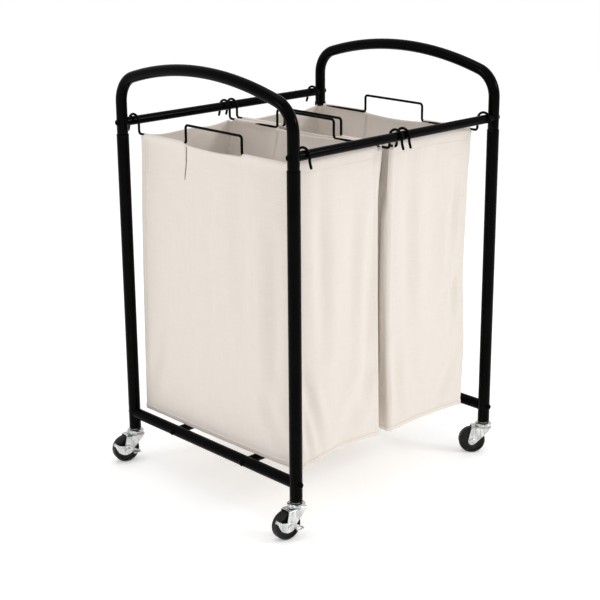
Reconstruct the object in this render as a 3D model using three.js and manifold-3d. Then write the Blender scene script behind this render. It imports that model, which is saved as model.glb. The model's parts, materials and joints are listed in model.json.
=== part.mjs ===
// Two-bag laundry sorter on wheels.
// Millimetres, +Z up. X runs along the top rails, -Y is the front, the floor is z = 0.
// The group is shifted at the end so that the origin is under the middle of its bounding box.

import * as THREE from 'three';
import { mergeVertices } from 'three/addons/utils/BufferGeometryUtils.js';
import Module from 'manifold-3d';

const wasm = await Module();
wasm.setup();

// ---------------------------------------------------------------- driving dimensions
const GAP = 0.3; // clearance kept between pieces that touch

// Frame
const FRAME_WIDTH = 545; // between post axes, along X
const FRAME_DEPTH = 488; // between post axes, along Y
const POST_RADIUS = 12.2;
const POST_WALL = 1.2;
const POST_BOTTOM = 71;
const SEAM_HEIGHT = 690; // where the arched handle meets the post
const TOP_RAIL_RADIUS = 8.8;
const TOP_RAIL_HEIGHT = 714;
const CROSSBAR_RADIUS = 11;
const CROSSBAR_HEIGHT = 103;
const BOTTOM_RAIL_RADIUS = 8;
const BOTTOM_RAIL_SPACING = 210; // between the two bottom rails, along Y
const RAIL_WALL = 1;
const RAIL_PLUG = 16; // threaded insert in each tube end

// Arched handle
const HANDLE_RADIUS = 11.5;
const HANDLE_WALL = 1.2;
const HANDLE_APEX = 836; // tube axis at mid-span
const HANDLE_TOP_ARC = 720;
const HANDLE_CORNER = 55;
const SPIGOT_RADIUS = 10.6; // reduced end that slides into the post
const SPIGOT_LENGTH = 30;

// Bolts
const BOLT_RADIUS = 3;
const BOLT_HOLE_RADIUS = 3.4;
const BOLT_HEAD_RADIUS = 6;
const BOLT_HEAD_HEIGHT = 3.5;

// Casters, measured from the swivel axis; the wheel trails along local +X
const WHEEL_RADIUS = 27.5;
const WHEEL_WIDTH = 20;
const WHEEL_SIDES = 20;
const WHEEL_BORE_RADIUS = 4.5;
const TREAD_CHAMFER = 2;
const CASTER_TRAIL = 23.5;
const FORK_PLATE = 2; // sheet thickness
const FORK_WIDTH = 27;
const FORK_BASE = 56.8; // underside of the fork's top plate
const FORK_FRONT = -16;
const FORK_BACK = 25;
const FORK_BOSS_RADIUS = 8.5;
const FORK_BOSS_END = 130; // degrees round the boss, where the leg's front edge leaves it
const FORK_KNEE_INSET = 4; // corner of the leg under the front of the top plate
const FORK_KNEE_DROP = 7;
const FORK_HOLE_RADIUS = 4.3;
const LOWER_RACE_RADIUS = 15;
const LOWER_RACE_HEIGHT = 1.3;
const AXLE_RADIUS = 4;
const AXLE_HEAD_RADIUS = 6.5;
const AXLE_HEAD_HEIGHT = 2.5;
const AXLE_HEAD_EDGE = 0.8;
const RIVET_HEAD_RADIUS = 7; // kingpin's head, under the fork's plate
const RIVET_HEAD_HEIGHT = 2;
const CAP_RADIUS = 17.5; // race cap over the balls
const CAP_LIP = 2;
const CAP_SHOULDER_RADIUS = 14;
const CAP_RIM = 61.6;
const CAP_UNDER = 63.2;
const CAP_TOP = 66.4;
const NECK_RADIUS = 9;
const STEM_RADIUS = 5.5;
const STEM_TOP = 95;
const BALL_RING_INSIDE = 9;
const BALL_RING_OUTSIDE = 13.5;
const SOCKET_FLANGE = 2.5;
const SOCKET_CHAMFER = 1.5;
const SOCKET_TOP = 97;
const SOCKET_BORE_RADIUS = 5.9;
const LEVER_PLATE = 2;
const LEVER_TAIL_RADIUS = 31; // inside of the curled tail, from the axle
const LEVER_TAIL_REACH = 6; // how near the tail comes to the middle of the wheel
const LEVER_TAIL_LOW = 22; // degrees above the level of the axle
const LEVER_TAIL_HIGH = 44;
const LEVER_TAB_START = -26;
const LEVER_TAB_END = -9;
const LEVER_TAB_BOTTOM = -6.5;
const LEVER_TAB_WIDTH = 8;
const LEVER_BACK = [[-11, 7], [13, 7]]; // corners of the plate above the axle, from toe to tail
const LEVER_FRONT = [[11, -15], [-7, -11], [-15, 2]]; // and below it, from tail to toe

// Canvas bags and their wire hangers
const HANGER_INSET = 246; // outer hangers from the middle
const HANGER_MIDDLE = 10; // inner hangers from the middle
const WIRE_RADIUS = 2.5;
const SLEEVE_HEIGHT = 690; // wire axis inside the bag's sleeve
const BAIL_HALF = 80;
const BAIL_TOP = 725.5;
const BAIL_BEND = 6;
const HOOK_RADIUS = 15.5; // wire axis of the loop over the rail
const HOOK_INSET = 3; // the loop's centre, inwards from the rail's axis
const HOOK_BEND = 6; // between the sleeve and the upright leg of the hook
const HOOK_STRAIGHT = 8; // the outer leg runs down this far below the rail's axis
const HOOK_TIP_DROP = 23; // and splays out to its tip
const HOOK_TIP_SPLAY = 4.5;
const BAG_WALL = 3;
const BAG_BOTTOM = 111.4;
const BAG_WAIST = 402;
const BAG_RIM = 693;
const BAG_HALF_DEPTH_TOP = 219;
const BAG_HALF_DEPTH_BOTTOM = 230;
const BAG_CORNER = 12;
const SLEEVE_THICKNESS = 9;
const SLEEVE_DEPTH = 16;
const SLEEVE_START = 86; // each sleeve runs from here to the end of the bag

// Each corner: side along X, side along Y, where the caster trails at rest, brake or not
const CORNERS = {
  front_left: { x: -1, y: -1, heading: 173, brake: true },
  front_right: { x: 1, y: -1, heading: 135, brake: false },
  back_left: { x: -1, y: 1, heading: 166, brake: true },
  back_right: { x: 1, y: 1, heading: 150, brake: false },
};

// Each bag: the X of its two wires, and of its two sides at the rim, the waist and the foot
const BAGS = {
  left: {
    wires: { outer: -HANGER_INSET, inner: -HANGER_MIDDLE },
    rim: [-248.5, -7.5],
    waist: [-250.5, -33],
    foot: [-252, -34],
  },
  right: {
    wires: { outer: HANGER_INSET, inner: HANGER_MIDDLE },
    rim: [7.5, 248.5],
    waist: [-4, 220],
    foot: [-3.5, 214],
  },
};

// ---------------------------------------------------------------- materials
const steelBlack = new THREE.MeshStandardMaterial({ color: 0x0d0c0c, roughness: 0.28, metalness: 0.4 });
const wireBlack = new THREE.MeshStandardMaterial({ color: 0x101010, roughness: 0.35, metalness: 0.4 });
const zinc = new THREE.MeshStandardMaterial({ color: 0xd2d4d4, roughness: 0.25, metalness: 1 });
const plasticBlack = new THREE.MeshStandardMaterial({ color: 0x161515, roughness: 0.5, metalness: 0 });
const rubberBlack = new THREE.MeshStandardMaterial({ color: 0x111110, roughness: 0.6, metalness: 0 });
const canvas = new THREE.MeshStandardMaterial({ color: 0xefe8dc, roughness: 0.95, metalness: 0 });

// ---------------------------------------------------------------- solids
const sorter = new THREE.Group();

// A closed geometry as a solid with its faces pointing out.
function solid(geometry) {
  geometry.deleteAttribute('normal');
  geometry.deleteAttribute('uv');
  const merged = mergeVertices(geometry, 1e-4);
  const points = merged.attributes.position;
  const triangles = Uint32Array.from(merged.index.array);
  const [a, b, c] = [new THREE.Vector3(), new THREE.Vector3(), new THREE.Vector3()];
  let volume = 0;
  for (let i = 0; i < triangles.length; i += 3) {
    a.fromBufferAttribute(points, triangles[i]);
    b.fromBufferAttribute(points, triangles[i + 1]);
    c.fromBufferAttribute(points, triangles[i + 2]);
    volume += a.dot(b.cross(c));
  }
  if (volume < 0) triangles.reverse();
  const vertProperties = Float32Array.from(points.array);
  return new wasm.Manifold(new wasm.Mesh({ numProp: 3, vertProperties, triVerts: triangles }));
}

function addMesh(name, body, material, parent = sorter) {
  const mesh = body.getMesh();
  const geometry = new THREE.BufferGeometry();
  geometry.setAttribute('position', new THREE.BufferAttribute(mesh.vertProperties, 3));
  geometry.setIndex(new THREE.BufferAttribute(mesh.triVerts, 1));
  geometry.computeVertexNormals();
  const object = new THREE.Mesh(geometry, material);
  object.name = name;
  parent.add(object);
  return object;
}

// A cylinder centred on a point, along the axis 'x', 'y' or 'z'.
function rod(axis, radius, length, at = [0, 0, 0], sides = 12) {
  const geometry = new THREE.CylinderGeometry(radius, radius, length, sides);
  if (axis === 'x') geometry.rotateZ(Math.PI / 2);
  if (axis === 'z') geometry.rotateX(Math.PI / 2);
  return solid(geometry.translate(...at));
}

function block([x0, y0, z0], [x1, y1, z1]) {
  const geometry = new THREE.BoxGeometry(x1 - x0, y1 - y0, z1 - z0);
  return solid(geometry.translate((x0 + x1) / 2, (y0 + y1) / 2, (z0 + z1) / 2));
}

// A profile of [radius, height] points turned about Z.
function turned(profile, sides, startAngle = 0) {
  const points = profile.map(([r, z]) => new THREE.Vector2(r, z));
  return solid(new THREE.LatheGeometry(points, sides, startAngle).rotateX(Math.PI / 2));
}

// An outline in the XZ plane, extruded from y0 to y1.
function extrudedAlongY(shape, y0, y1) {
  const options = { depth: y1 - y0, bevelEnabled: false, curveSegments: 6 };
  const geometry = new THREE.ExtrudeGeometry(shape, options);
  return solid(geometry.rotateX(Math.PI / 2).translate(0, y1, 0));
}

// A path through chosen points, so that straight stretches take no sections of their own.
class PointPath extends THREE.Curve {
  constructor(points) {
    super();
    this.points = points;
  }

  getPoint(t) {
    const place = t * (this.points.length - 1);
    const i = Math.min(Math.floor(place), this.points.length - 2);
    return this.points[i].clone().lerp(this.points[i + 1], place - i);
  }

  getPointAt(t) {
    return this.getPoint(t);
  }

  // The direction at a point is midway between the two stretches that meet there.
  getTangentAt(t) {
    const last = this.points.length - 1;
    const i = Math.round(t * last);
    return this.stretch(Math.max(i, 1)).add(this.stretch(Math.min(i + 1, last))).normalize();
  }

  // The direction of the stretch that ends at point i.
  stretch(i) {
    return this.points[i].clone().sub(this.points[i - 1]).normalize();
  }
}

function tubeThrough(points, radius, sides) {
  const outline = [];
  for (let i = 0; i < sides; i += 1) {
    const angle = (2 * Math.PI * (i + 0.5)) / sides;
    outline.push(new THREE.Vector2(radius * Math.cos(angle), radius * Math.sin(angle)));
  }
  const extrudePath = new PointPath(points);
  const options = { steps: points.length - 1, extrudePath, bevelEnabled: false };
  return solid(new THREE.ExtrudeGeometry(new THREE.Shape(outline), options));
}

// Points of an arc in the YZ plane; angles are in degrees from +Y towards +Z.
function arcPoints(y, z, radius, from, to, steps) {
  const points = [];
  for (let i = 0; i <= steps; i += 1) {
    const angle = THREE.MathUtils.degToRad(from + ((to - from) * i) / steps);
    points.push(new THREE.Vector3(0, y + radius * Math.cos(angle), z + radius * Math.sin(angle)));
  }
  return points;
}

// ---------------------------------------------------------------- frame
const halfWidth = FRAME_WIDTH / 2;
const halfDepth = FRAME_DEPTH / 2;

function makePost() {
  const length = SEAM_HEIGHT - POST_BOTTOM;
  const middle = [0, 0, (SEAM_HEIGHT + POST_BOTTOM) / 2];
  const bore = rod('z', POST_RADIUS - POST_WALL, length + 2, middle, 16);
  const boltHole = rod('y', BOLT_HOLE_RADIUS, 3 * POST_RADIUS, [0, 0, CROSSBAR_HEIGHT], 8);
  return rod('z', POST_RADIUS, length, middle, 16).subtract(bore).subtract(boltHole);
}

// The axis of the handle: up one leg, round the corner, over the shallow top arc and down again.
function handlePath(legBottom) {
  const topCentre = HANDLE_APEX - HANDLE_TOP_ARC;
  const cornerY = halfDepth - HANDLE_CORNER;
  const cornerZ = topCentre + Math.sqrt((HANDLE_TOP_ARC - HANDLE_CORNER) ** 2 - cornerY ** 2);
  const turn = THREE.MathUtils.radToDeg(Math.atan2(cornerZ - topCentre, cornerY));
  return [
    new THREE.Vector3(0, halfDepth, legBottom),
    ...arcPoints(cornerY, cornerZ, HANDLE_CORNER, 0, turn, 6),
    ...arcPoints(0, topCentre, HANDLE_TOP_ARC, turn, 180 - turn, 8).slice(1, -1),
    ...arcPoints(-cornerY, cornerZ, HANDLE_CORNER, 180 - turn, 180, 6),
    new THREE.Vector3(0, -halfDepth, legBottom),
  ];
}

function makeHandle() {
  const legBottom = SEAM_HEIGHT + GAP;
  let body = tubeThrough(handlePath(legBottom), HANDLE_RADIUS, 12);
  let bore = tubeThrough(handlePath(legBottom + 5), HANDLE_RADIUS - HANDLE_WALL, 8);
  for (const y of [-halfDepth, halfDepth]) {
    const spigotMiddle = [0, y, SEAM_HEIGHT + GAP + 1 - SPIGOT_LENGTH / 2];
    body = body.add(rod('z', SPIGOT_RADIUS, SPIGOT_LENGTH, spigotMiddle));
    bore = bore.add(rod('z', SPIGOT_RADIUS - HANDLE_WALL, SPIGOT_LENGTH + 10, spigotMiddle, 8));
    bore = bore.add(rod('x', BOLT_HOLE_RADIUS, 3 * HANDLE_RADIUS, [0, y, TOP_RAIL_HEIGHT], 8));
  }
  return body.subtract(bore);
}

// A tube along X between two uprights, its ends hollowed to sit against their round walls,
// with a threaded insert in each end for the bolt that comes through the upright.
function makeRail(radius, span, uprightAxis, uprightRadius) {
  const saddle = uprightRadius + GAP;
  const hollowLength = span - 2 * (saddle + RAIL_PLUG);
  let body = rod('x', radius, span);
  body = body.subtract(rod('x', radius - RAIL_WALL, hollowLength));
  body = body.subtract(rod('x', BOLT_HOLE_RADIUS, span + 2, [0, 0, 0], 8));
  for (const x of [-span / 2, span / 2]) {
    body = body.subtract(rod(uprightAxis, saddle, 3 * radius, [x, 0, 0], 16));
  }
  return body;
}

// Along Z, the head above z = 0 and the shank below it.
function makeBolt(length) {
  const dome = [
    [0, BOLT_HEAD_HEIGHT],
    [BOLT_HEAD_RADIUS * 0.6, BOLT_HEAD_HEIGHT * 0.85],
    [BOLT_HEAD_RADIUS, BOLT_HEAD_HEIGHT * 0.3],
    [BOLT_HEAD_RADIUS, 0],
  ];
  return turned([[0, -length], [BOLT_RADIUS, -length], [BOLT_RADIUS, 0], ...dome.reverse()], 8);
}

for (const [corner, { x, y }] of Object.entries(CORNERS)) {
  addMesh(`post_${corner}`, makePost(), steelBlack).position.set(x * halfWidth, y * halfDepth, 0);
}

for (const [side, x] of [['left', -halfWidth], ['right', halfWidth]]) {
  addMesh(`handle_${side}`, makeHandle(), steelBlack).position.x = x;
  let crossbar = makeRail(CROSSBAR_RADIUS, FRAME_DEPTH, 'z', POST_RADIUS);
  for (const y of [-BOTTOM_RAIL_SPACING / 2, BOTTOM_RAIL_SPACING / 2]) {
    crossbar = crossbar.subtract(rod('y', BOLT_HOLE_RADIUS, 3 * CROSSBAR_RADIUS, [y, 0, 0], 8));
  }
  const mesh = addMesh(`crossbar_${side}`, crossbar, steelBlack);
  mesh.position.set(x, 0, CROSSBAR_HEIGHT);
  mesh.rotation.z = Math.PI / 2;
}

for (const [side, y] of [['front', -1], ['back', 1]]) {
  const topRail = makeRail(TOP_RAIL_RADIUS, FRAME_WIDTH, 'z', HANDLE_RADIUS);
  addMesh(`top_rail_${side}`, topRail, steelBlack).position.set(0, y * halfDepth, TOP_RAIL_HEIGHT);
  const bottomRail = makeRail(BOTTOM_RAIL_RADIUS, FRAME_WIDTH, 'y', CROSSBAR_RADIUS);
  const place = [0, (y * BOTTOM_RAIL_SPACING) / 2, CROSSBAR_HEIGHT];
  addMesh(`bottom_rail_${side}`, bottomRail, steelBlack).position.set(...place);
}

// A bolt whose head sits outside an upright and whose shank ends in the rail's insert.
function addBolt(name, uprightRadius, place, outward) {
  const reach = 2 * (uprightRadius + GAP) + RAIL_PLUG - 2;
  const mesh = addMesh(name, makeBolt(reach), steelBlack);
  mesh.quaternion.setFromUnitVectors(new THREE.Vector3(0, 0, 1), outward);
  mesh.position.copy(place).addScaledVector(outward, uprightRadius + GAP);
}

for (const [corner, { x, y }] of Object.entries(CORNERS)) {
  const outX = new THREE.Vector3(x, 0, 0);
  const outY = new THREE.Vector3(0, y, 0);
  const post = new THREE.Vector3(x * halfWidth, y * halfDepth, 0);
  addBolt(`rail_bolt_${corner}`, HANDLE_RADIUS, post.clone().setZ(TOP_RAIL_HEIGHT), outX);
  addBolt(`crossbar_bolt_${corner}`, POST_RADIUS, post.clone().setZ(CROSSBAR_HEIGHT), outY);
  const rail = new THREE.Vector3(x * halfWidth, (y * BOTTOM_RAIL_SPACING) / 2, CROSSBAR_HEIGHT);
  addBolt(`bottom_rail_bolt_${corner}`, CROSSBAR_RADIUS, rail, outX);
}

// ---------------------------------------------------------------- casters
const forkTop = FORK_BASE + FORK_PLATE;
const raceTop = forkTop + LOWER_RACE_HEIGHT;
const socketBottom = POST_BOTTOM - GAP - SOCKET_FLANGE;

// Plastic insert in the foot of the post, bored for the stem.
function makeSocket() {
  const shoulder = POST_BOTTOM - GAP;
  const body = POST_RADIUS - POST_WALL - GAP;
  return turned([
    [SOCKET_BORE_RADIUS, socketBottom],
    [POST_RADIUS - SOCKET_CHAMFER, socketBottom],
    [POST_RADIUS, socketBottom + SOCKET_CHAMFER],
    [POST_RADIUS, shoulder],
    [body, shoulder],
    [body, SOCKET_TOP],
    [SOCKET_BORE_RADIUS, SOCKET_TOP],
    [SOCKET_BORE_RADIUS, socketBottom],
  ], 12);
}

// Stem, race cap and the kingpin that holds the fork, riveted under the fork's plate.
function makeStem() {
  const rivetTop = FORK_BASE - GAP;
  const neckTop = socketBottom - GAP;
  return turned([
    [0, rivetTop - RIVET_HEAD_HEIGHT],
    [RIVET_HEAD_RADIUS, rivetTop - RIVET_HEAD_HEIGHT],
    [RIVET_HEAD_RADIUS, rivetTop],
    [AXLE_RADIUS, rivetTop],
    [AXLE_RADIUS, CAP_UNDER],
    [CAP_RADIUS - CAP_LIP, CAP_UNDER],
    [CAP_RADIUS - CAP_LIP, CAP_RIM],
    [CAP_RADIUS, CAP_RIM],
    [CAP_RADIUS, CAP_UNDER + 1],
    [CAP_SHOULDER_RADIUS, CAP_TOP],
    [NECK_RADIUS, CAP_TOP],
    [NECK_RADIUS, neckTop],
    [STEM_RADIUS, neckTop],
    [STEM_RADIUS, STEM_TOP],
    [0, STEM_TOP + 1],
  ], 12);
}

function makeBallRing() {
  const [low, high] = [raceTop + GAP, CAP_UNDER - GAP];
  const [inside, outside] = [BALL_RING_INSIDE, BALL_RING_OUTSIDE];
  return turned([[inside, low], [outside, low], [outside, high], [inside, high], [inside, low]], 12);
}

// A folded sheet: top plate, raised race and two legs that taper to the axle.
function makeFork() {
  const leg = new THREE.Shape();
  leg.moveTo(FORK_FRONT, -forkTop);
  leg.lineTo(FORK_BACK, -forkTop);
  const bossEnd = THREE.MathUtils.degToRad(FORK_BOSS_END);
  leg.absarc(CASTER_TRAIL, -WHEEL_RADIUS, FORK_BOSS_RADIUS, 0, bossEnd, false);
  leg.lineTo(FORK_FRONT + FORK_KNEE_INSET, -forkTop + FORK_KNEE_DROP);
  const side = FORK_WIDTH / 2;
  let body = block([FORK_FRONT, -side, FORK_BASE], [FORK_BACK, side, forkTop]);
  for (const y of [-side, side - FORK_PLATE]) {
    body = body.add(extrudedAlongY(leg, -y - FORK_PLATE, -y).rotate([180, 0, 0]));
  }
  const raceFoot = FORK_BASE + FORK_PLATE / 2;
  const raceMiddle = [0, 0, (raceTop + raceFoot) / 2];
  body = body.add(rod('z', LOWER_RACE_RADIUS, raceTop - raceFoot, raceMiddle, 16));
  body = body.subtract(rod('z', FORK_HOLE_RADIUS, 10 * FORK_PLATE, [0, 0, forkTop], 10));
  return body.subtract(rod('y', FORK_HOLE_RADIUS, 2 * FORK_WIDTH, [CASTER_TRAIL, 0, WHEEL_RADIUS], 10));
}

// Along Z: a rivet with a head at each end, longer at the top where it carries a lever.
function makeAxle(brake) {
  const bottom = -FORK_WIDTH / 2 - GAP;
  const top = FORK_WIDTH / 2 + GAP + (brake ? LEVER_PLATE + GAP : 0);
  return turned([
    [0, bottom - AXLE_HEAD_HEIGHT],
    [AXLE_HEAD_RADIUS * 0.6, bottom - AXLE_HEAD_HEIGHT],
    [AXLE_HEAD_RADIUS, bottom - AXLE_HEAD_EDGE],
    [AXLE_HEAD_RADIUS, bottom],
    [AXLE_RADIUS, bottom],
    [AXLE_RADIUS, top],
    [AXLE_HEAD_RADIUS, top],
    [AXLE_HEAD_RADIUS, top + AXLE_HEAD_EDGE],
    [AXLE_HEAD_RADIUS * 0.6, top + AXLE_HEAD_HEIGHT],
    [0, top + AXLE_HEAD_HEIGHT],
  ], 10);
}

// Turned about Z, with a flat of the tread facing straight down once it is mounted.
function makeWheel() {
  const flat = Math.PI / WHEEL_SIDES;
  const radius = WHEEL_RADIUS / Math.cos(flat);
  const half = WHEEL_WIDTH / 2;
  return turned([
    [WHEEL_BORE_RADIUS, -half],
    [radius - TREAD_CHAMFER, -half],
    [radius, -half + TREAD_CHAMFER],
    [radius, half - TREAD_CHAMFER],
    [radius - TREAD_CHAMFER, half],
    [WHEEL_BORE_RADIUS, half],
    [WHEEL_BORE_RADIUS, -half],
  ], WHEEL_SIDES, flat);
}

// A rocker plate on the axle: a tail curled in behind the tread, a toe tab bent outwards.
function makeLever() {
  const inner = FORK_WIDTH / 2 + GAP;
  const outer = inner + LEVER_PLATE;
  const tailOut = LEVER_TAIL_RADIUS + LEVER_PLATE;
  const tailLow = THREE.MathUtils.degToRad(LEVER_TAIL_LOW);
  const tailHigh = THREE.MathUtils.degToRad(LEVER_TAIL_HIGH);

  const plate = new THREE.Shape();
  plate.setFromPoints(LEVER_BACK.map(([x, y]) => new THREE.Vector2(x, y)));
  plate.absarc(0, 0, tailOut, -tailLow, -tailHigh, true);
  for (const [x, y] of LEVER_FRONT) plate.lineTo(x, y);

  const tail = new THREE.Shape();
  tail.absarc(0, 0, tailOut, -tailLow, -tailHigh, true);
  tail.absarc(0, 0, LEVER_TAIL_RADIUS, -tailHigh, -tailLow, false);

  const tabLow = [LEVER_TAB_START, inner, LEVER_TAB_BOTTOM];
  const tabHigh = [LEVER_TAB_END, outer + LEVER_TAB_WIDTH, LEVER_TAB_BOTTOM + LEVER_PLATE];
  let body = extrudedAlongY(plate, -outer, -inner).rotate([180, 0, 0]);
  body = body.add(extrudedAlongY(tail, -outer + LEVER_PLATE / 4, -LEVER_TAIL_REACH).rotate([180, 0, 0]));
  body = body.add(block(tabLow, tabHigh));
  return body.subtract(rod('y', FORK_HOLE_RADIUS, 2 * FORK_WIDTH, [0, inner, 0], 10));
}

for (const [corner, { x, y, heading, brake }] of Object.entries(CORNERS)) {
  const caster = new THREE.Group();
  caster.position.set(x * halfWidth, y * halfDepth, 0);
  caster.rotation.z = THREE.MathUtils.degToRad(heading);
  sorter.add(caster);
  addMesh(`stem_socket_${corner}`, makeSocket(), plasticBlack, caster);
  addMesh(`caster_stem_${corner}`, makeStem(), zinc, caster);
  addMesh(`ball_ring_${corner}`, makeBallRing(), zinc, caster);
  addMesh(`caster_fork_${corner}`, makeFork(), zinc, caster);

  const hub = new THREE.Group();
  hub.position.set(CASTER_TRAIL, 0, WHEEL_RADIUS);
  caster.add(hub);
  addMesh(`axle_${corner}`, makeAxle(brake), zinc, hub).rotation.x = -Math.PI / 2;
  addMesh(`wheel_${corner}`, makeWheel(), rubberBlack, hub).rotation.x = -Math.PI / 2;
  if (brake) addMesh(`brake_lever_${corner}`, makeLever(), zinc, hub);
}

// ---------------------------------------------------------------- bags and hangers

// One end of the wire, from the sleeve up the inside of the rail, over it and down to the tip.
// The loop is wider than the rail, which touches it up and outwards of the loop's centre.
function hookPoints() {
  const touching = HOOK_RADIUS - WIRE_RADIUS - TOP_RAIL_RADIUS - GAP;
  const y = halfDepth - HOOK_INSET;
  const z = TOP_RAIL_HEIGHT - Math.sqrt(touching ** 2 - HOOK_INSET ** 2);
  const outer = y + HOOK_RADIUS;
  return [
    ...arcPoints(y - HOOK_RADIUS - HOOK_BEND, SLEEVE_HEIGHT + HOOK_BEND, HOOK_BEND, -90, 0, 2),
    ...arcPoints(y, z, HOOK_RADIUS, 180, 0, 8),
    new THREE.Vector3(0, outer, TOP_RAIL_HEIGHT - HOOK_STRAIGHT),
    new THREE.Vector3(0, outer + HOOK_TIP_SPLAY, TOP_RAIL_HEIGHT - HOOK_TIP_DROP),
  ];
}

// Half of the wire, from the middle of the bail to the tip of one hook.
function halfHanger() {
  return [
    ...arcPoints(BAIL_HALF - BAIL_BEND, BAIL_TOP - BAIL_BEND, BAIL_BEND, 90, 0, 2),
    ...arcPoints(BAIL_HALF + BAIL_BEND, SLEEVE_HEIGHT + BAIL_BEND, BAIL_BEND, 180, 270, 2),
    ...hookPoints(),
  ];
}

function makeHangerWire(radius) {
  const half = halfHanger();
  const mirrored = half.map((point) => new THREE.Vector3(0, -point.y, point.z)).reverse();
  return tubeThrough([...mirrored, ...half], radius, 6);
}

// The X of a bag's two sides at a height: straight from rim to waist, and from waist to foot.
function sidesAt({ rim, waist, foot }, z) {
  const aboveWaist = z > BAG_WAIST;
  const [from, to] = aboveWaist ? [rim, waist] : [waist, foot];
  const [high, low] = aboveWaist ? [BAG_RIM, BAG_WAIST] : [BAG_WAIST, BAG_BOTTOM];
  const share = (high - z) / (high - low);
  return [0, 1].map((i) => THREE.MathUtils.lerp(from[i], to[i], share));
}

function halfDepthAt(z) {
  const share = (BAG_RIM - z) / (BAG_RIM - BAG_BOTTOM);
  return THREE.MathUtils.lerp(BAG_HALF_DEPTH_TOP, BAG_HALF_DEPTH_BOTTOM, share);
}

// A block with rounded upright edges, an inset inside the bag's outer shape.
function bagBlock(bag, inset, bottom, top) {
  const width = (bag.rim[1] - bag.rim[0]) / 2 - inset;
  const depth = BAG_HALF_DEPTH_TOP - inset;
  const corner = BAG_CORNER - inset;
  const outline = new THREE.Shape();
  outline.absarc(width - corner, depth - corner, corner, 0, Math.PI / 2);
  outline.absarc(corner - width, depth - corner, corner, Math.PI / 2, Math.PI);
  outline.absarc(corner - width, corner - depth, corner, Math.PI, 1.5 * Math.PI);
  outline.absarc(width - corner, corner - depth, corner, 1.5 * Math.PI, 2 * Math.PI);
  const options = { depth: 2, steps: 2, bevelEnabled: false, curveSegments: 2 };
  const geometry = new THREE.ExtrudeGeometry(outline, options);
  const points = geometry.attributes.position;
  for (let i = 0; i < points.count; i += 1) {
    const z = [bottom, BAG_WAIST, top][Math.round(points.getZ(i))];
    const [left, right] = sidesAt(bag, z);
    const x = (points.getX(i) / width) * ((right - left) / 2 - inset);
    const y = (points.getY(i) / depth) * (halfDepthAt(z) - inset);
    points.setXYZ(i, x + (left + right) / 2, y, z);
  }
  return solid(geometry);
}

// An open bag with a sleeve for the wire along the two sides that hang from it.
function makeBag(bag) {
  const inner = bagBlock(bag, BAG_WALL, BAG_BOTTOM + BAG_WALL, BAG_RIM + 20);
  let body = bagBlock(bag, 0, BAG_BOTTOM, BAG_RIM).subtract(inner);
  for (const x of Object.values(bag.wires)) {
    for (const y of [-1, 1]) {
      const ends = [y * SLEEVE_START, y * (BAG_HALF_DEPTH_TOP - BAG_CORNER / 2)];
      const [near, far] = [Math.min(...ends), Math.max(...ends)];
      const low = [x - SLEEVE_THICKNESS / 2, near, SLEEVE_HEIGHT - SLEEVE_DEPTH / 2];
      const high = [x + SLEEVE_THICKNESS / 2, far, SLEEVE_HEIGHT + SLEEVE_DEPTH / 2];
      body = body.add(block(low, high));
    }
    body = body.subtract(makeHangerWire(WIRE_RADIUS + 2 * GAP).translate([x, 0, 0]));
  }
  return body;
}

for (const [side, bag] of Object.entries(BAGS)) {
  addMesh(`bag_${side}`, makeBag(bag), canvas);
  for (const [place, x] of Object.entries(bag.wires)) {
    addMesh(`hanger_${side}_${place}`, makeHangerWire(WIRE_RADIUS), wireBlack).position.x = x;
  }
}

// ---------------------------------------------------------------- origin
sorter.updateMatrixWorld(true);
const middle = new THREE.Box3().setFromObject(sorter, true).getCenter(new THREE.Vector3());
sorter.position.set(-middle.x, -middle.y, 0);

export default sorter;
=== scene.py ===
"""Looks of a two-bag laundry sorter on wheels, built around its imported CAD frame.

Metres, +Z up. X runs along the top rails, -Y is the front, the floor is z = 0.
"""
import json
import math

import bmesh
import bpy
import numpy as np
from mathutils import Matrix, Vector, noise


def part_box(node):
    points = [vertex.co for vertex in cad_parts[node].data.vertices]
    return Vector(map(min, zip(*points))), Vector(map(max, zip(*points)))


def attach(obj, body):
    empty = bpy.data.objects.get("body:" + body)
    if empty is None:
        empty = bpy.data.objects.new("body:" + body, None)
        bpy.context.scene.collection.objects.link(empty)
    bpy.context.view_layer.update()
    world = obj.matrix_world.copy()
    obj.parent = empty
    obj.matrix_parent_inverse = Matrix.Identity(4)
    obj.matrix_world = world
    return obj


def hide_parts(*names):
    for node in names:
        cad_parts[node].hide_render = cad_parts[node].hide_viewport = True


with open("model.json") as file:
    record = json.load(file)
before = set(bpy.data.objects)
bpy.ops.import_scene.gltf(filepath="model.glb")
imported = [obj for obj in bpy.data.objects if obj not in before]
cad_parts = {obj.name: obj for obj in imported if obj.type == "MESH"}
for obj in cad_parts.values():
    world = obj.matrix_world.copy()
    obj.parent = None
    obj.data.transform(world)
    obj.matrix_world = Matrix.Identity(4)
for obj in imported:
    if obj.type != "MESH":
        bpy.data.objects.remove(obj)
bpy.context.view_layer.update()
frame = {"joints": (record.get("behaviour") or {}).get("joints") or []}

MM = 0.001
SIDES = ("left", "right")
CORNERS = [f"{depth}_{side}" for depth in ("front", "back") for side in SIDES]
BRAKED = ("front_left", "back_left")
JOINTS = {joint["name"]: joint for joint in frame["joints"]}


def middle(node):
    low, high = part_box(node)
    return (low + high) / 2


def size(node):
    low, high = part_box(node)
    return high - low


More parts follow.
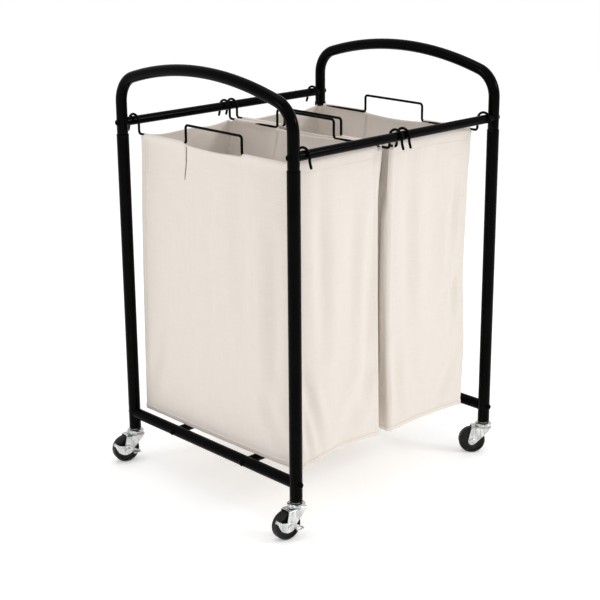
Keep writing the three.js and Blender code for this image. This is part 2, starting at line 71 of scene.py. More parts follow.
# ---------------------------------------------------------------- driving places, from the frame
POSTS = {corner: middle(f"post_{corner}") for corner in CORNERS}
POST_RADIUS = size("post_front_left").x / 2
POST_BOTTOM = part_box("post_front_left")[0].z
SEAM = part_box("post_front_left")[1].z
HALF_DEPTH = (POSTS["back_left"].y - POSTS["front_left"].y) / 2
CENTRE = (POSTS["front_left"] + POSTS["back_right"]) / 2
TOP_RAIL = {side: middle(f"top_rail_{side}") for side in ("front", "back")}
TOP_RAIL_RADIUS = size("top_rail_front").z / 2
HANDLE_RADIUS = size("handle_left").x / 2
HANDLE_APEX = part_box("handle_left")[1].z - HANDLE_RADIUS
CROSSBAR_RADIUS = size("crossbar_left").z / 2
BOTTOM_RAIL_RADIUS = size("bottom_rail_front").z / 2
WHEEL_RADIUS = size("wheel_front_left").z / 2
WIRES = {
    f"{side}_{place}": middle(f"hanger_{side}_{place}").x for side in SIDES for place in ("outer", "inner")
}

# Driving sizes that the boxes don't give
HANDLE_TOP_ARC = 720 * MM
HANDLE_CORNER = 55 * MM
SPIGOT_RADIUS = 10.6 * MM
SPIGOT_LENGTH = 28 * MM
FIT = 0.3 * MM  # gap between metal pieces that touch
TUBE_WALL = 1.2 * MM
BOLT_HEAD_RADIUS = 6 * MM
BOLT_HEAD_HEIGHT = 3.5 * MM
BOLT_SHANK = 34 * MM
HEX_REACH = 1.9 * MM  # from the bolt's axis to each flat of the recess
WIRE_RADIUS = 2.5 * MM
HOOK_RADIUS = 15.5 * MM  # wire axis of the loop over the rail
HOOK_INSET = 3 * MM  # the loop's centre, inwards from the rail's axis
HOOK_BEND = 6 * MM
HOOK_STRAIGHT = 8 * MM  # the outer leg runs down this far below the rail's axis
HOOK_TIP_DROP = 23 * MM
HOOK_TIP_SPLAY = 4.5 * MM
SLEEVE_HEIGHT = 690 * MM
BAIL_HALF = 80 * MM
BAIL_TOP = 725.5 * MM


# ---------------------------------------------------------------- camera, light and floor
CAMERA_TURN = (-43.64, 16.41, -0.38)  # azimuth, elevation and roll, in degrees
CAMERA_DISTANCE = 2.7934
AIM_HEIGHT = 0.4017
AIM_LEFT = 0.0189  # of the middle of the frame
LENS = 82.44  # in mm, on a sensor 36 mm wide
SHIFT_Y = -0.0467


def make_camera():
    azimuth, elevation, roll = (math.radians(degrees) for degrees in CAMERA_TURN)
    back = Vector((
        math.sin(azimuth) * math.cos(elevation),
        -math.cos(azimuth) * math.cos(elevation),
        math.sin(elevation),
    ))
    right = Vector((math.cos(azimuth), math.sin(azimuth), 0))
    target = Vector((CENTRE.x, CENTRE.y, AIM_HEIGHT)) - right * AIM_LEFT
    data = bpy.data.cameras.new("camera")
    data.lens = LENS
    data.sensor_width = 36
    data.shift_y = SHIFT_Y
    data.clip_end = 100
    camera = bpy.data.objects.new("camera", data)
    bpy.context.scene.collection.objects.link(camera)
    turn = (-back).to_track_quat("-Z", "Y").to_matrix().to_4x4()
    place = Matrix.Translation(target + back * CAMERA_DISTANCE)
    camera.matrix_world = place @ turn @ Matrix.Rotation(roll, 4, "Z")
    bpy.context.scene.camera = camera


def make_light(name, place, aim, width, power, colour=(1, 1, 1)):
    data = bpy.data.lights.new(name, "AREA")
    data.shape = "RECTANGLE"
    data.size = width
    data.size_y = width * 0.8
    data.energy = power
    data.color = colour
    light = bpy.data.objects.new(name, data)
    light.location = place
    light.rotation_euler = (Vector(aim) - Vector(place)).to_track_quat("-Z", "Y").to_euler()
    bpy.context.scene.collection.objects.link(light)


SKY_LIGHT = 0.75  # strength of the white sky as a light; its backdrop is plain white
FLOOR_GLOW = 0.27  # brings the floor up to the same white


def make_studio():
    world = bpy.data.worlds.new("studio")
    world.use_nodes = True
    background = world.node_tree.nodes["Background"]
    background.inputs["Color"].default_value = (1, 1, 1, 1)
    rays = world.node_tree.nodes.new("ShaderNodeLightPath")
    strength = world.node_tree.nodes.new("ShaderNodeMath")
    strength.operation = "MULTIPLY_ADD"
    strength.inputs[1].default_value = 1 - SKY_LIGHT
    strength.inputs[2].default_value = SKY_LIGHT
    world.node_tree.links.new(rays.outputs["Is Camera Ray"], strength.inputs[0])
    world.node_tree.links.new(strength.outputs["Value"], background.inputs["Strength"])
    bpy.context.scene.world = world
    bpy.context.scene.view_settings.view_transform = "Standard"
    make_light("key_light", (2.2, -3.0, 2.4), (0, 0, 0.4), 1.0, 38)
    make_light("left_light", (-3.0, 1.3, 1.6), (0, 0, 0.45), 0.7, 10)
    make_light("top_light", (-0.3, 0.4, 3.4), (0, 0, 0.3), 1.6, 12)


def make_floor():
    """A disc much wider than anything the camera sees."""
    sides, radius = 48, 40
    angles = [math.tau * i / sides for i in range(sides)]
    bm = bmesh.new()
    bm.faces.new([bm.verts.new((radius * math.cos(a), radius * math.sin(a), 0)) for a in angles])
    mesh = bpy.data.meshes.new("studio_floor")
    bm.to_mesh(mesh)
    bm.free()
    floor = bpy.data.objects.new("studio_floor", mesh)
    mesh.materials.append(floor_material())
    bpy.context.scene.collection.objects.link(floor)


# ---------------------------------------------------------------- materials
def shader(name, colour, roughness, **sockets):
    """A new material; returns it with its tree and its Principled node."""
    material = bpy.data.materials.new(name)
    material.use_nodes = True
    tree = material.node_tree
    principled = tree.nodes["Principled BSDF"]
    principled.inputs["Base Color"].default_value = (*colour, 1)
    principled.inputs["Roughness"].default_value = roughness
    for socket, value in sockets.items():
        principled.inputs[socket.replace("_", " ")].default_value = value
    return material, tree, principled


def add_node(tree, kind, output, values, links):
    """Adds a shader node with plain values and linked inputs, and returns one of its outputs."""
    node = tree.nodes.new(f"ShaderNode{kind}")
    for socket, value in values.items():
        node.inputs[socket].default_value = value
    for socket, source in links.items():
        tree.links.new(source, node.inputs[socket])
    return node.outputs[output]


def place_of(tree, scale=(1, 1, 1), layer=None):
    """A texture position: the object's own, or a named UV layer's, stretched by scale."""
    if layer:
        source = tree.nodes.new("ShaderNodeUVMap")
        source.uv_map = layer
        socket = source.outputs["UV"]
    else:
        socket = tree.nodes.new("ShaderNodeTexCoord").outputs["Object"]
    return add_node(tree, "Mapping", "Vector", {"Scale": scale}, {"Vector": socket})


def noise_of(tree, place, scale, detail=3):
    return add_node(tree, "TexNoise", "Fac", {"Scale": scale, "Detail": detail}, {"Vector": place})


def ramp(tree, factor, low, high, start=0.35, end=0.65):
    """A colour between two, as a factor goes from start to end."""
    node = tree.nodes.new("ShaderNodeValToRGB")
    node.color_ramp.elements[0].position = start
    node.color_ramp.elements[0].color = (*low, 1)
    node.color_ramp.elements[1].position = end
    node.color_ramp.elements[1].color = (*high, 1)
    tree.links.new(factor, node.inputs["Fac"])
    return node.outputs["Color"]


def spread(tree, factor, low, high):
    """A value between two, as a noise goes through the middle of its range."""
    values = {"From Min": 0.3, "From Max": 0.7, "To Min": low, "To Max": high}
    return add_node(tree, "MapRange", "Result", values, {"Value": factor})


def bump(tree, height, depth, before=None):
    """A bump of a real depth in metres, on top of another one if there is one before it."""
    links = {"Height": height, "Normal": before} if before else {"Height": height}
    return add_node(tree, "Bump", "Normal", {"Strength": 1, "Distance": depth}, links)


def multiply(tree, a, b):
    product = add_node(tree, "Math", "Value", {}, {0: a, 1: b})
    product.node.operation = "MULTIPLY"
    return product


def floor_material():
    material, tree, principled = shader(
        "pale_floor", (0.98, 0.98, 0.98), 0.7, Specular_IOR_Level=0.15,
        Emission_Color=(1, 1, 1, 1), Emission_Strength=FLOOR_GLOW,
    )
    mottle = noise_of(tree, place_of(tree), 3, 2)
    shades = ramp(tree, mottle, (0.975, 0.975, 0.975), (0.99, 0.99, 0.99))
    tree.links.new(shades, principled.inputs["Base Color"])
    return material


def dress(parts, place, scales, colours, gloss, grain):
    """Gives a shader a clouded colour, an uneven gloss and a fine grain, each with its own noise scale."""
    material, tree, principled = parts
    cloud, patches, fine = scales
    looks = {
        "Base Color": ramp(tree, noise_of(tree, place, cloud, 4), *colours),
        "Roughness": spread(tree, noise_of(tree, place, patches), *gloss),
        "Normal": bump(tree, noise_of(tree, place, fine, 2), grain),
    }
    for socket, output in looks.items():
        tree.links.new(output, principled.inputs[socket])
    return material


def black(name, specular, scales, colours, gloss, grain):
    parts = shader(name, colours[0], gloss[0], Specular_IOR_Level=specular)
    return dress(parts, place_of(parts[1]), scales, colours, gloss, grain)


def bright_zinc():
    """Bright plating with streaks along Z."""
    parts = shader("bright_zinc", (0.8, 0.8, 0.8), 0.2, Metallic=1)
    place = place_of(parts[1], (1, 1, 0.25))
    colours = (0.46, 0.47, 0.48), (0.8, 0.8, 0.79)
    return dress(parts, place, (160, 420, 1500), colours, (0.14, 0.3), 0.02 * MM)


def thread_wave(tree, place, direction, pitch):
    """Parallel threads a pitch apart, a little uneven."""
    values = {"Scale": math.tau / 20 / pitch, "Distortion": 1.1, "Detail": 1, "Detail Scale": 0.4}
    wave = add_node(tree, "TexWave", "Fac", values, {"Vector": place})
    wave.node.bands_direction = direction
    return wave


def canvas():
    """Natural cotton canvas: crossed threads, slubs along both, and soft unevenness of colour."""
    material, tree, principled = shader("cotton_canvas", (0.85, 0.8, 0.73), 0.92, Specular_IOR_Level=0.2,
                                        Sheen_Weight=0.12, Sheen_Roughness=0.6)
    flat = place_of(tree, layer="cloth")
    warp_slubs = noise_of(tree, place_of(tree, (260, 22, 1), "cloth"), 1, 2)
    weft_slubs = noise_of(tree, place_of(tree, (22, 260, 1), "cloth"), 1, 2)
    slubs = multiply(tree, warp_slubs, weft_slubs)
    weave = multiply(tree, thread_wave(tree, flat, "X", 1.1 * MM), thread_wave(tree, flat, "Y", 1.1 * MM))
    tint = ramp(tree, slubs, (0.785, 0.718, 0.652), (0.812, 0.748, 0.684), 0.12, 0.40)
    tree.links.new(tint, principled.inputs["Base Color"])
    threads = bump(tree, weave, 0.1 * MM)
    uneven = bump(tree, slubs, 0.12 * MM, threads)
    crumple = noise_of(tree, flat, 32, 3)
    tree.links.new(bump(tree, crumple, 0.5 * MM, uneven), principled.inputs["Normal"])
    return material


def sewing_thread(name, low, high):
    material, tree, principled = shader(name, low, 0.8)
    fibres = noise_of(tree, place_of(tree), 3000, 2)
    tree.links.new(ramp(tree, fibres, low, high), principled.inputs["Base Color"])
    return material


STEEL_SCALES = (24, 90, 700)
MOULDED_SCALES = (60, 200, 2200)
COAT = black(
    "black_powder_coat", 0.03, STEEL_SCALES,
    ((0.0011, 0.001, 0.0009), (0.002, 0.0019, 0.0018)), (0.09, 0.16), 0.03 * MM,
)
WIRE_COAT = black(
    "black_wire_coat", 0.03, STEEL_SCALES,
    ((0.0016, 0.0016, 0.0016), (0.003, 0.003, 0.003)), (0.26, 0.38), 0.02 * MM,
)
ZINC = bright_zinc()
PLASTIC = black(
    "black_plastic", 0.2, MOULDED_SCALES,
    ((0.006, 0.0058, 0.0055), (0.011, 0.0105, 0.01)), (0.4, 0.55), 0.02 * MM,
)
RUBBER = black(
    "black_tread", 0.2, MOULDED_SCALES,
    ((0.006, 0.006, 0.0057), (0.012, 0.012, 0.0115)), (0.36, 0.55), 0.025 * MM,
)
CANVAS = canvas()
THREAD = sewing_thread("cotton_thread", (0.60, 0.50, 0.39), (0.76, 0.67, 0.56))
# Dark brown, laid in the slits beside the bail legs: a painted shadow of the open slits
SLIT_SHADOW_THREAD = sewing_thread("slit_shadow_thread", (0.07, 0.045, 0.03), (0.14, 0.1, 0.07))


# ---------------------------------------------------------------- meshes
class Surface:
    """Vertices and faces gathered from several shapes."""

    def __init__(self):
        self.vertices = []
        self.faces = []

    def add(self, vertices, faces, matrix=None):
        first = len(self.vertices)
        moved = [matrix @ Vector(v) for v in vertices] if matrix else vertices
        self.vertices += [tuple(v) for v in moved]
        self.faces += [tuple(first + i for i in face) for face in faces]
        return self


def add_piece(node, surface, material, body, slot, stands_for=True, sharp=38, tidy=True):
    """A piece named after its node that rides on a body, in the given material; its slot argument is not
    used.
    """
    name = f"{node}_fine"
    mesh = bpy.data.meshes.new(name)
    mesh.from_pydata(surface.vertices, [], surface.faces)
    if tidy:
        bm = bmesh.new()
        bm.from_mesh(mesh)
        bmesh.ops.remove_doubles(bm, verts=bm.verts, dist=0.002 * MM)
        bmesh.ops.recalc_face_normals(bm, faces=bm.faces)
        bm.to_mesh(mesh)
        bm.free()
    mesh.polygons.foreach_set("use_smooth", [True] * len(mesh.polygons))
    mesh.set_sharp_from_angle(angle=math.radians(sharp))
    mesh.materials.append(material)
    piece = bpy.data.objects.new(name, mesh)
    bpy.context.scene.collection.objects.link(piece)
    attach(piece, body)
    if stands_for:
        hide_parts(node)
    return piece


def in_mm(points):
    return [(a * MM, b * MM) for a, b in points]


def ring_faces(rings, sides):
    """Quads between rings of the same number of points, stored one after another."""
    faces = []
    for i in range(rings - 1):
        for j in range(sides):
            k = (j + 1) % sides
            faces.append((i * sides + j, i * sides + k, (i + 1) * sides + k, (i + 1) * sides + j))
    return faces


def capped(rings, faces, sides):
    """Adds a fan on the first and the last ring."""
    last = len(rings) - sides
    ends = [sum((Vector(v) for v in rings[at:at + sides]), Vector()) / sides for at in (0, last)]
    vertices = rings + ends
    for at, hub in ((0, len(rings)), (last, len(rings) + 1)):
        faces += [(hub, at + j, at + (j + 1) % sides) for j in range(sides)]
    return vertices, faces


def lathe(profile, sides=48, closed=False):
    """A profile of (radius, height) turned about Z. An open one starts and ends on the axis."""
    points = profile + profile[:1] if closed else profile
    rings = []
    for radius, height in points:
        for j in range(sides):
            angle = math.tau * j / sides
            rings.append((radius * math.cos(angle), radius * math.sin(angle), height))
    return rings, ring_faces(len(points), sides)


def rounded(profile, radius, steps=3):
    """The same profile with its inner corners rounded."""
    points = [Vector(p) for p in profile]
    result = [profile[0]]
    for before, here, after in zip(points, points[1:], points[2:]):
        reach = min(radius, (before - here).length * 0.45, (after - here).length * 0.45)
        start = here + (before - here).normalized() * reach
        end = here + (after - here).normalized() * reach
        for i in range(steps + 1):
            t = i / steps
            result.append(tuple(start * (1 - t) ** 2 + here * (2 * t * (1 - t)) + end * t ** 2))
    return result + [profile[-1]]


def sweep(points, radii, sides=32):
    """A round bar through points, each with its own radius; its frame is carried along without twist."""
    points = [Vector(p) for p in points]
    last = len(points) - 1
    tangents = [(points[min(i + 1, last)] - points[max(i - 1, 0)]).normalized() for i in range(last + 1)]
    across = tangents[0].orthogonal().normalized()
    rings = []
    for point, tangent, radius in zip(points, tangents, radii):
        across = (across - tangent * across.dot(tangent)).normalized()
        up = tangent.cross(across)
        for j in range(sides):
            angle = math.tau * j / sides
            rings.append(point + (across * math.cos(angle) + up * math.sin(angle)) * radius)
    return capped(rings, ring_faces(len(points), sides), sides)


def round_ends(points, radius, steps=5):
    """Points and radii of a bar whose two ends are domed."""
    points = [Vector(p) for p in points]
    angles = [math.pi / 2 * i / steps for i in range(steps + 1)]
    domes = []
    for tip, inwards in ((points[0], points[1] - points[0]), (points[-1], points[-2] - points[-1])):
        domes.append([tip + inwards.normalized() * radius * (1 - math.cos(angle)) for angle in angles])
    radii = [radius * max(math.sin(angle), 0.05) for angle in angles]
    inside = points[1:-1]
    return domes[0] + inside + domes[1][::-1], radii + [radius] * len(inside) + radii[::-1]


def arc(y, z, radius, start, end, steps, x=0.0):
    """Points of an arc in a YZ plane; angles are in degrees from +Y towards +Z."""
    return [
        Vector((x, y + radius * math.cos(angle), z + radius * math.sin(angle)))
        for angle in (math.radians(start + (end - start) * i / steps) for i in range(steps + 1))
    ]


def modified(piece, thickness, edge):
    """Gives a sheet its thickness about its own surface and a rounded edge."""
    solidify = piece.modifiers.new("thickness", "SOLIDIFY")
    solidify.thickness = thickness
    solidify.offset = 0
    bevel = piece.modifiers.new("edge", "BEVEL")
    bevel.width = edge
    bevel.segments = 2
    bevel.limit_method = "ANGLE"
    bevel.angle_limit = math.radians(50)
    return piece


# ---------------------------------------------------------------- frame
def add_coated(node, shape, place=None):
    """A black-coated piece of the frame, from its vertices and faces."""
    add_piece(node, Surface().add(*shape, place), COAT, "frame", "powder_coat")


def make_post(corner):
    """An upright tube with rolled lips."""
    inside = POST_RADIUS - TUBE_WALL
    low, high = POST_BOTTOM, SEAM
    profile = [
        (inside, low + 4 * MM), (inside, low), (POST_RADIUS, low), (POST_RADIUS, high - 3 * MM),
        (POST_RADIUS + 0.15 * MM, high - 1.6 * MM), (POST_RADIUS + 0.15 * MM, high), (inside, high),
        (inside, low + 4 * MM),
    ]
    place = Matrix.Translation((POSTS[corner].x, POSTS[corner].y, 0))
    add_coated(f"post_{corner}", lathe(rounded(profile, 0.6 * MM), 56), place)


def handle_points(x):
    """From inside the back post, up and over to the front one."""
    top = HANDLE_APEX - HANDLE_TOP_ARC
    corner_y = HALF_DEPTH - HANDLE_CORNER
    corner_z = top + math.sqrt((HANDLE_TOP_ARC - HANDLE_CORNER) ** 2 - corner_y ** 2)
    turn = math.degrees(math.atan2(corner_z - top, corner_y))
    y = CENTRE.y
    over = [
        *arc(y + corner_y, corner_z, HANDLE_CORNER, 0, turn, 20, x),
        *arc(y, top, HANDLE_TOP_ARC, turn, 180 - turn, 40, x)[1:-1],
        *arc(y - corner_y, corner_z, HANDLE_CORNER, 180 - turn, 180, 20, x),
    ]
    shoulder = SEAM + FIT
    legs = [SEAM - SPIGOT_LENGTH, shoulder, shoulder + 0.25 * MM, shoulder + 0.9 * MM, shoulder + 12 * MM]
    radii = [SPIGOT_RADIUS, SPIGOT_RADIUS, HANDLE_RADIUS - 0.5 * MM, HANDLE_RADIUS, HANDLE_RADIUS]
    up = [Vector((x, y + HALF_DEPTH, z)) for z in legs]
    down = [Vector((x, y - HALF_DEPTH, z)) for z in reversed(legs)]
    return up + over + down, radii + [HANDLE_RADIUS] * len(over) + radii[::-1]


def saddle_bar(middle_point, along, radius, half_span, upright_radius, upright_along, sides=48):
    """A tube between two uprights whose ends follow their round walls."""
    along, upright_along = Vector(along), Vector(upright_along)
    across = along.cross(upright_along)
    reach = upright_radius + FIT
    end = [(0.35, 0), (0, 0.35), (0, 1.2)]  # how much narrower a ring is and how far back it is, in mm
    rows = [(-1, *row) for row in end] + [(1, *row) for row in reversed(end)]
    rings = []
    for sign, narrower, back in rows:
        ring_radius = radius - narrower * MM
        for j in range(sides):
            angle = math.tau * j / sides
            offset = (across * math.cos(angle) + upright_along * math.sin(angle)) * ring_radius
            from_axis = math.sqrt(reach ** 2 - (ring_radius * math.cos(angle)) ** 2)
            distance = half_span - from_axis - back * MM
            rings.append(middle_point + offset + along * sign * distance)
    return capped(rings, ring_faces(len(rows), sides), sides)


def bolt_place(node):
    """The underside of a bolt's head, turned so that the head faces away from the middle of the frame."""
    low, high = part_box(node)
    extent = high - low
    along = max(range(3), key=lambda i: extent[i])
    outward = Vector((0, 0, 0))
    outward[along] = 1 if (low[along] + high[along]) / 2 > CENTRE[along] else -1
    head = middle(node)
    head[along] = high[along] if outward[along] > 0 else low[along]
    turn = outward.to_track_quat("Z", "Y").to_matrix().to_4x4()
    return Matrix.Translation(head - outward * BOLT_HEAD_HEIGHT) @ turn


def make_bolt(node):
    """A button head with a hex recess, on a plain shank."""
    sides = 48
    dome = [
        (BOLT_HEAD_RADIUS * math.cos(angle) ** 0.8, BOLT_HEAD_HEIGHT * (0.12 + 0.88 * math.sin(angle)))
        for angle in (math.radians(12 * i) for i in range(6))
    ]
    outline = [
        (0, -BOLT_SHANK), (2.7 * MM, -BOLT_SHANK), (3 * MM, -BOLT_SHANK + 0.5 * MM), (3 * MM, 0),
        (5.7 * MM, 0), *dome,
    ]
    vertices = lathe(outline, sides)[0]
    recess = ((BOLT_HEAD_HEIGHT * 0.96, 1.08), (BOLT_HEAD_HEIGHT * 0.88, 1), (1.3 * MM, 1))
    for height, share in recess:
        for j in range(sides):
            angle = math.tau * j / sides
            flat = HEX_REACH / math.cos((angle % (math.pi / 3)) - math.pi / 6) * share
            vertices.append((flat * math.cos(angle), flat * math.sin(angle), height))
    rings = len(outline) + len(recess)
    shape = capped([Vector(v) for v in vertices], ring_faces(rings, sides), sides)
    add_coated(node, shape, bolt_place(node))


def make_frame():
    half_width = (POSTS["front_right"].x - POSTS["front_left"].x) / 2
    for corner in CORNERS:
        make_post(corner)
    for side in SIDES:
        handle, bar = f"handle_{side}", f"crossbar_{side}"
        add_coated(handle, sweep(*handle_points(middle(handle).x), 48))
        sizes = CROSSBAR_RADIUS, HALF_DEPTH, POST_RADIUS
        add_coated(bar, saddle_bar(middle(bar), (0, 1, 0), *sizes, (0, 0, 1)))
    for depth in ("front", "back"):
        for level, radius, upright_radius, upright in (
            ("top", TOP_RAIL_RADIUS, HANDLE_RADIUS, (0, 0, 1)),
            ("bottom", BOTTOM_RAIL_RADIUS, CROSSBAR_RADIUS, (0, 1, 0)),
        ):
            rail = f"{level}_rail_{depth}"
            add_coated(rail, saddle_bar(middle(rail), (1, 0, 0), radius, half_width, upright_radius, upright))
    for corner in CORNERS:
        for kind in ("rail_bolt", "crossbar_bolt", "bottom_rail_bolt"):
            make_bolt(f"{kind}_{corner}")


# ---------------------------------------------------------------- casters
FORK_PLATE = 2 * MM
FORK_WIDTH = 27 * MM
FORK_TOP = 58.8 * MM
FORK_FRONT = -16 * MM
FORK_BOSS = 8.5 * MM
FORK_TAPER = 7 * MM  # how much further forward the back edge is at the top
FORK_BEND = 3.2 * MM
TRAIL = 23.5 * MM
RACE_TOP = 60.1 * MM
LEVER_PLATE = 2 * MM


def add_zinc(node, corner, shape, place, body="swivel", **options):
    """A zinc piece of a caster, on the frame or on one of the caster's own bodies."""
    ridden = body if body == "frame" else f"{body}_{corner}"
    return add_piece(f"{node}_{corner}", Surface().add(*shape, place), ZINC, ridden, "zinc", **options)


def fork_edges(height):
    """Where a leg of the fork starts and ends along X at a height."""
    above = height - WHEEL_RADIUS
    round_half = math.sqrt(max(FORK_BOSS ** 2 - min(above, 0) ** 2, 0))
    back = TRAIL + (round_half if above < 0 else FORK_BOSS - FORK_TAPER * above / (FORK_TOP - WHEEL_RADIUS))
    tangent = (TRAIL - 5.46 * MM, WHEEL_RADIUS - 6.51 * MM)  # where the straight front edge leaves the boss
    knee = (FORK_FRONT + 4 * MM, FORK_TOP - 7 * MM)
    if height < tangent[1]:
        front = TRAIL - math.sqrt(max(FORK_BOSS ** 2 - above ** 2, 0))
    elif height < knee[1]:
        share = (height - tangent[1]) / (knee[1] - tangent[1])
        front = tangent[0] + (knee[0] - tangent[0]) * share
    else:
        front = knee[0] + (FORK_FRONT - knee[0]) * (height - knee[1]) / (FORK_TOP - knee[1])
    return front, back


def make_fork(corner, place):
    """One folded sheet: two tapering legs, two bends and a top plate with a raised race."""
    side = FORK_WIDTH / 2 - FORK_PLATE / 2
    top = FORK_TOP - FORK_PLATE / 2
    leg = [WHEEL_RADIUS + FORK_BOSS * math.sin(math.radians(a)) for a in (-90, -80, -68, -55, -40, -20, 0)]
    leg += [WHEEL_RADIUS + rise * MM for rise in (4, 9, 15, 20, 24.5, 26.5)]
    half = [(side, height) for height in leg]
    for i in range(6):
        angle = math.radians(18 * i)
        half.append((side - FORK_BEND * (1 - math.cos(angle)), top - FORK_BEND * (1 - math.sin(angle))))
    half += [(6 * MM, top), (3 * MM, top)]
    section = half + [(0, top)] + [(-y, z) for y, z in reversed(half)]
    columns = 14
    vertices = []
    for y, z in section:
        front, back = fork_edges(z + (FORK_PLATE / 2 if z > top - 1 * MM else 0))
        for i in range(columns):
            vertices.append((front + (back - front) * i / (columns - 1), y, z))
    faces = [
        (r * columns + c, r * columns + c + 1, (r + 1) * columns + c + 1, (r + 1) * columns + c)
        for r in range(len(section) - 1) for c in range(columns - 1)
    ]
    modified(add_zinc("caster_fork", corner, (vertices, faces), place), FORK_PLATE, 0.4 * MM)
    race = [
        (4.3, 58.7), (15.6, 58.7), (14.9, 60.0), (13.9, 60.1),
        (12.4, 59.3), (10, 59.3), (9, 60.1), (4.3, 60.1),
    ]
    ring = rounded(in_mm(race + race[:1]), 0.35 * MM)
    add_zinc("caster_race", corner, lathe(ring, 48), place, stands_for=False)


def make_stem(corner, place):
    profile = [
        (0, 54.5), (5.4, 54.5), (6.9, 55.5), (7, 56.5), (4, 56.5), (4, 63.2), (15.5, 63.1), (15.6, 61.6),
        (17.5, 61.6), (17.5, 64), (16.6, 64.9), (14, 66.3), (12, 66.4), (9, 66.4), (9, 67.9), (5.5, 67.9),
        (5.5, 93.8), (4.6, 95), (0, 95),
    ]
    add_zinc("caster_stem", corner, lathe(rounded(in_mm(profile), 0.5 * MM), 56), place, "frame")


def make_socket(corner, place):
    """Plastic insert with a rounded flange that shows under the post."""
    inner, flange = 5.9 * MM, POST_RADIUS
    body = POST_RADIUS - TUBE_WALL - FIT
    shoulder = POST_BOTTOM - FIT
    low, high = 68.2 * MM, 97 * MM
    profile = [
        (inner, high - 3 * MM), (inner, low), (flange - 0.9 * MM, low), (flange, low + 0.9 * MM),
        (flange, shoulder), (body, shoulder), (body, high), (inner, high), (inner, high - 3 * MM),
    ]
    surface = Surface().add(*lathe(rounded(profile, 0.45 * MM), 56), place)
    add_piece(f"stem_socket_{corner}", surface, PLASTIC, "frame", "black_plastic")


def make_balls(corner, place):
    """Loose balls in the race, a little apart."""
    count, radius = 16, 1.25 * MM
    middle_height = RACE_TOP + FIT + radius
    surface = Surface()
    profile = [
        (radius * math.sin(math.pi * i / 10) if 0 < i < 10 else 0, -radius * math.cos(math.pi * i / 10))
        for i in range(11)
    ]
    for i in range(count):
        angle = math.tau * i / count
        spot = (11.2 * MM * math.cos(angle), 11.2 * MM * math.sin(angle), middle_height)
        surface.add(*lathe(profile, 16), place @ Matrix.Translation(spot))
    add_piece(f"ball_ring_{corner}", surface, ZINC, "frame", "zinc")


def make_axle(corner, hub):
    """A rivet with a domed head on each side."""
    extra = LEVER_PLATE + FIT if corner in BRAKED else 0
    low = -FORK_WIDTH / 2 - FIT
    high = FORK_WIDTH / 2 + FIT + extra
    head = [(6.5, 0), (6.5, 0.6), (5.6, 1.7), (3.6, 2.4), (2.2, 2.5), (1.5, 1.9), (0, 1.8)]
    bottom = [(r * MM, low - h * MM) for r, h in reversed(head)]
    top = [(r * MM, high + h * MM) for r, h in head]
    profile = bottom + [(4 * MM, low), (4 * MM, high)] + top
    add_zinc("axle", corner, lathe(rounded(profile, 0.3 * MM), 40), hub)


def make_wheel(corner, hub):
    """A moulded wheel: hub boss, recessed web, rim lip and a tread with fine grooves."""
    half = [
        (4.5, 9.9), (7.6, 9.9), (8.4, 9.2), (8.9, 7.4), (20.4, 7), (21.4, 8), (22.2, 9.8), (23.7, 10),
        (25.8, 9.6), (27, 8), (27.5, 6), (27.5, 4.9), (27.05, 4.6), (27.05, 4.1), (27.5, 3.8), (27.5, 0.4),
    ]
    profile = in_mm([(r, -y) for r, y in half] + half[::-1])
    ring = rounded(profile + profile[:1], 0.35 * MM)
    surface = Surface().add(*lathe(ring, 72), hub)
    add_piece(f"wheel_{corner}", surface, RUBBER, f"roller_{corner}", "wheel")


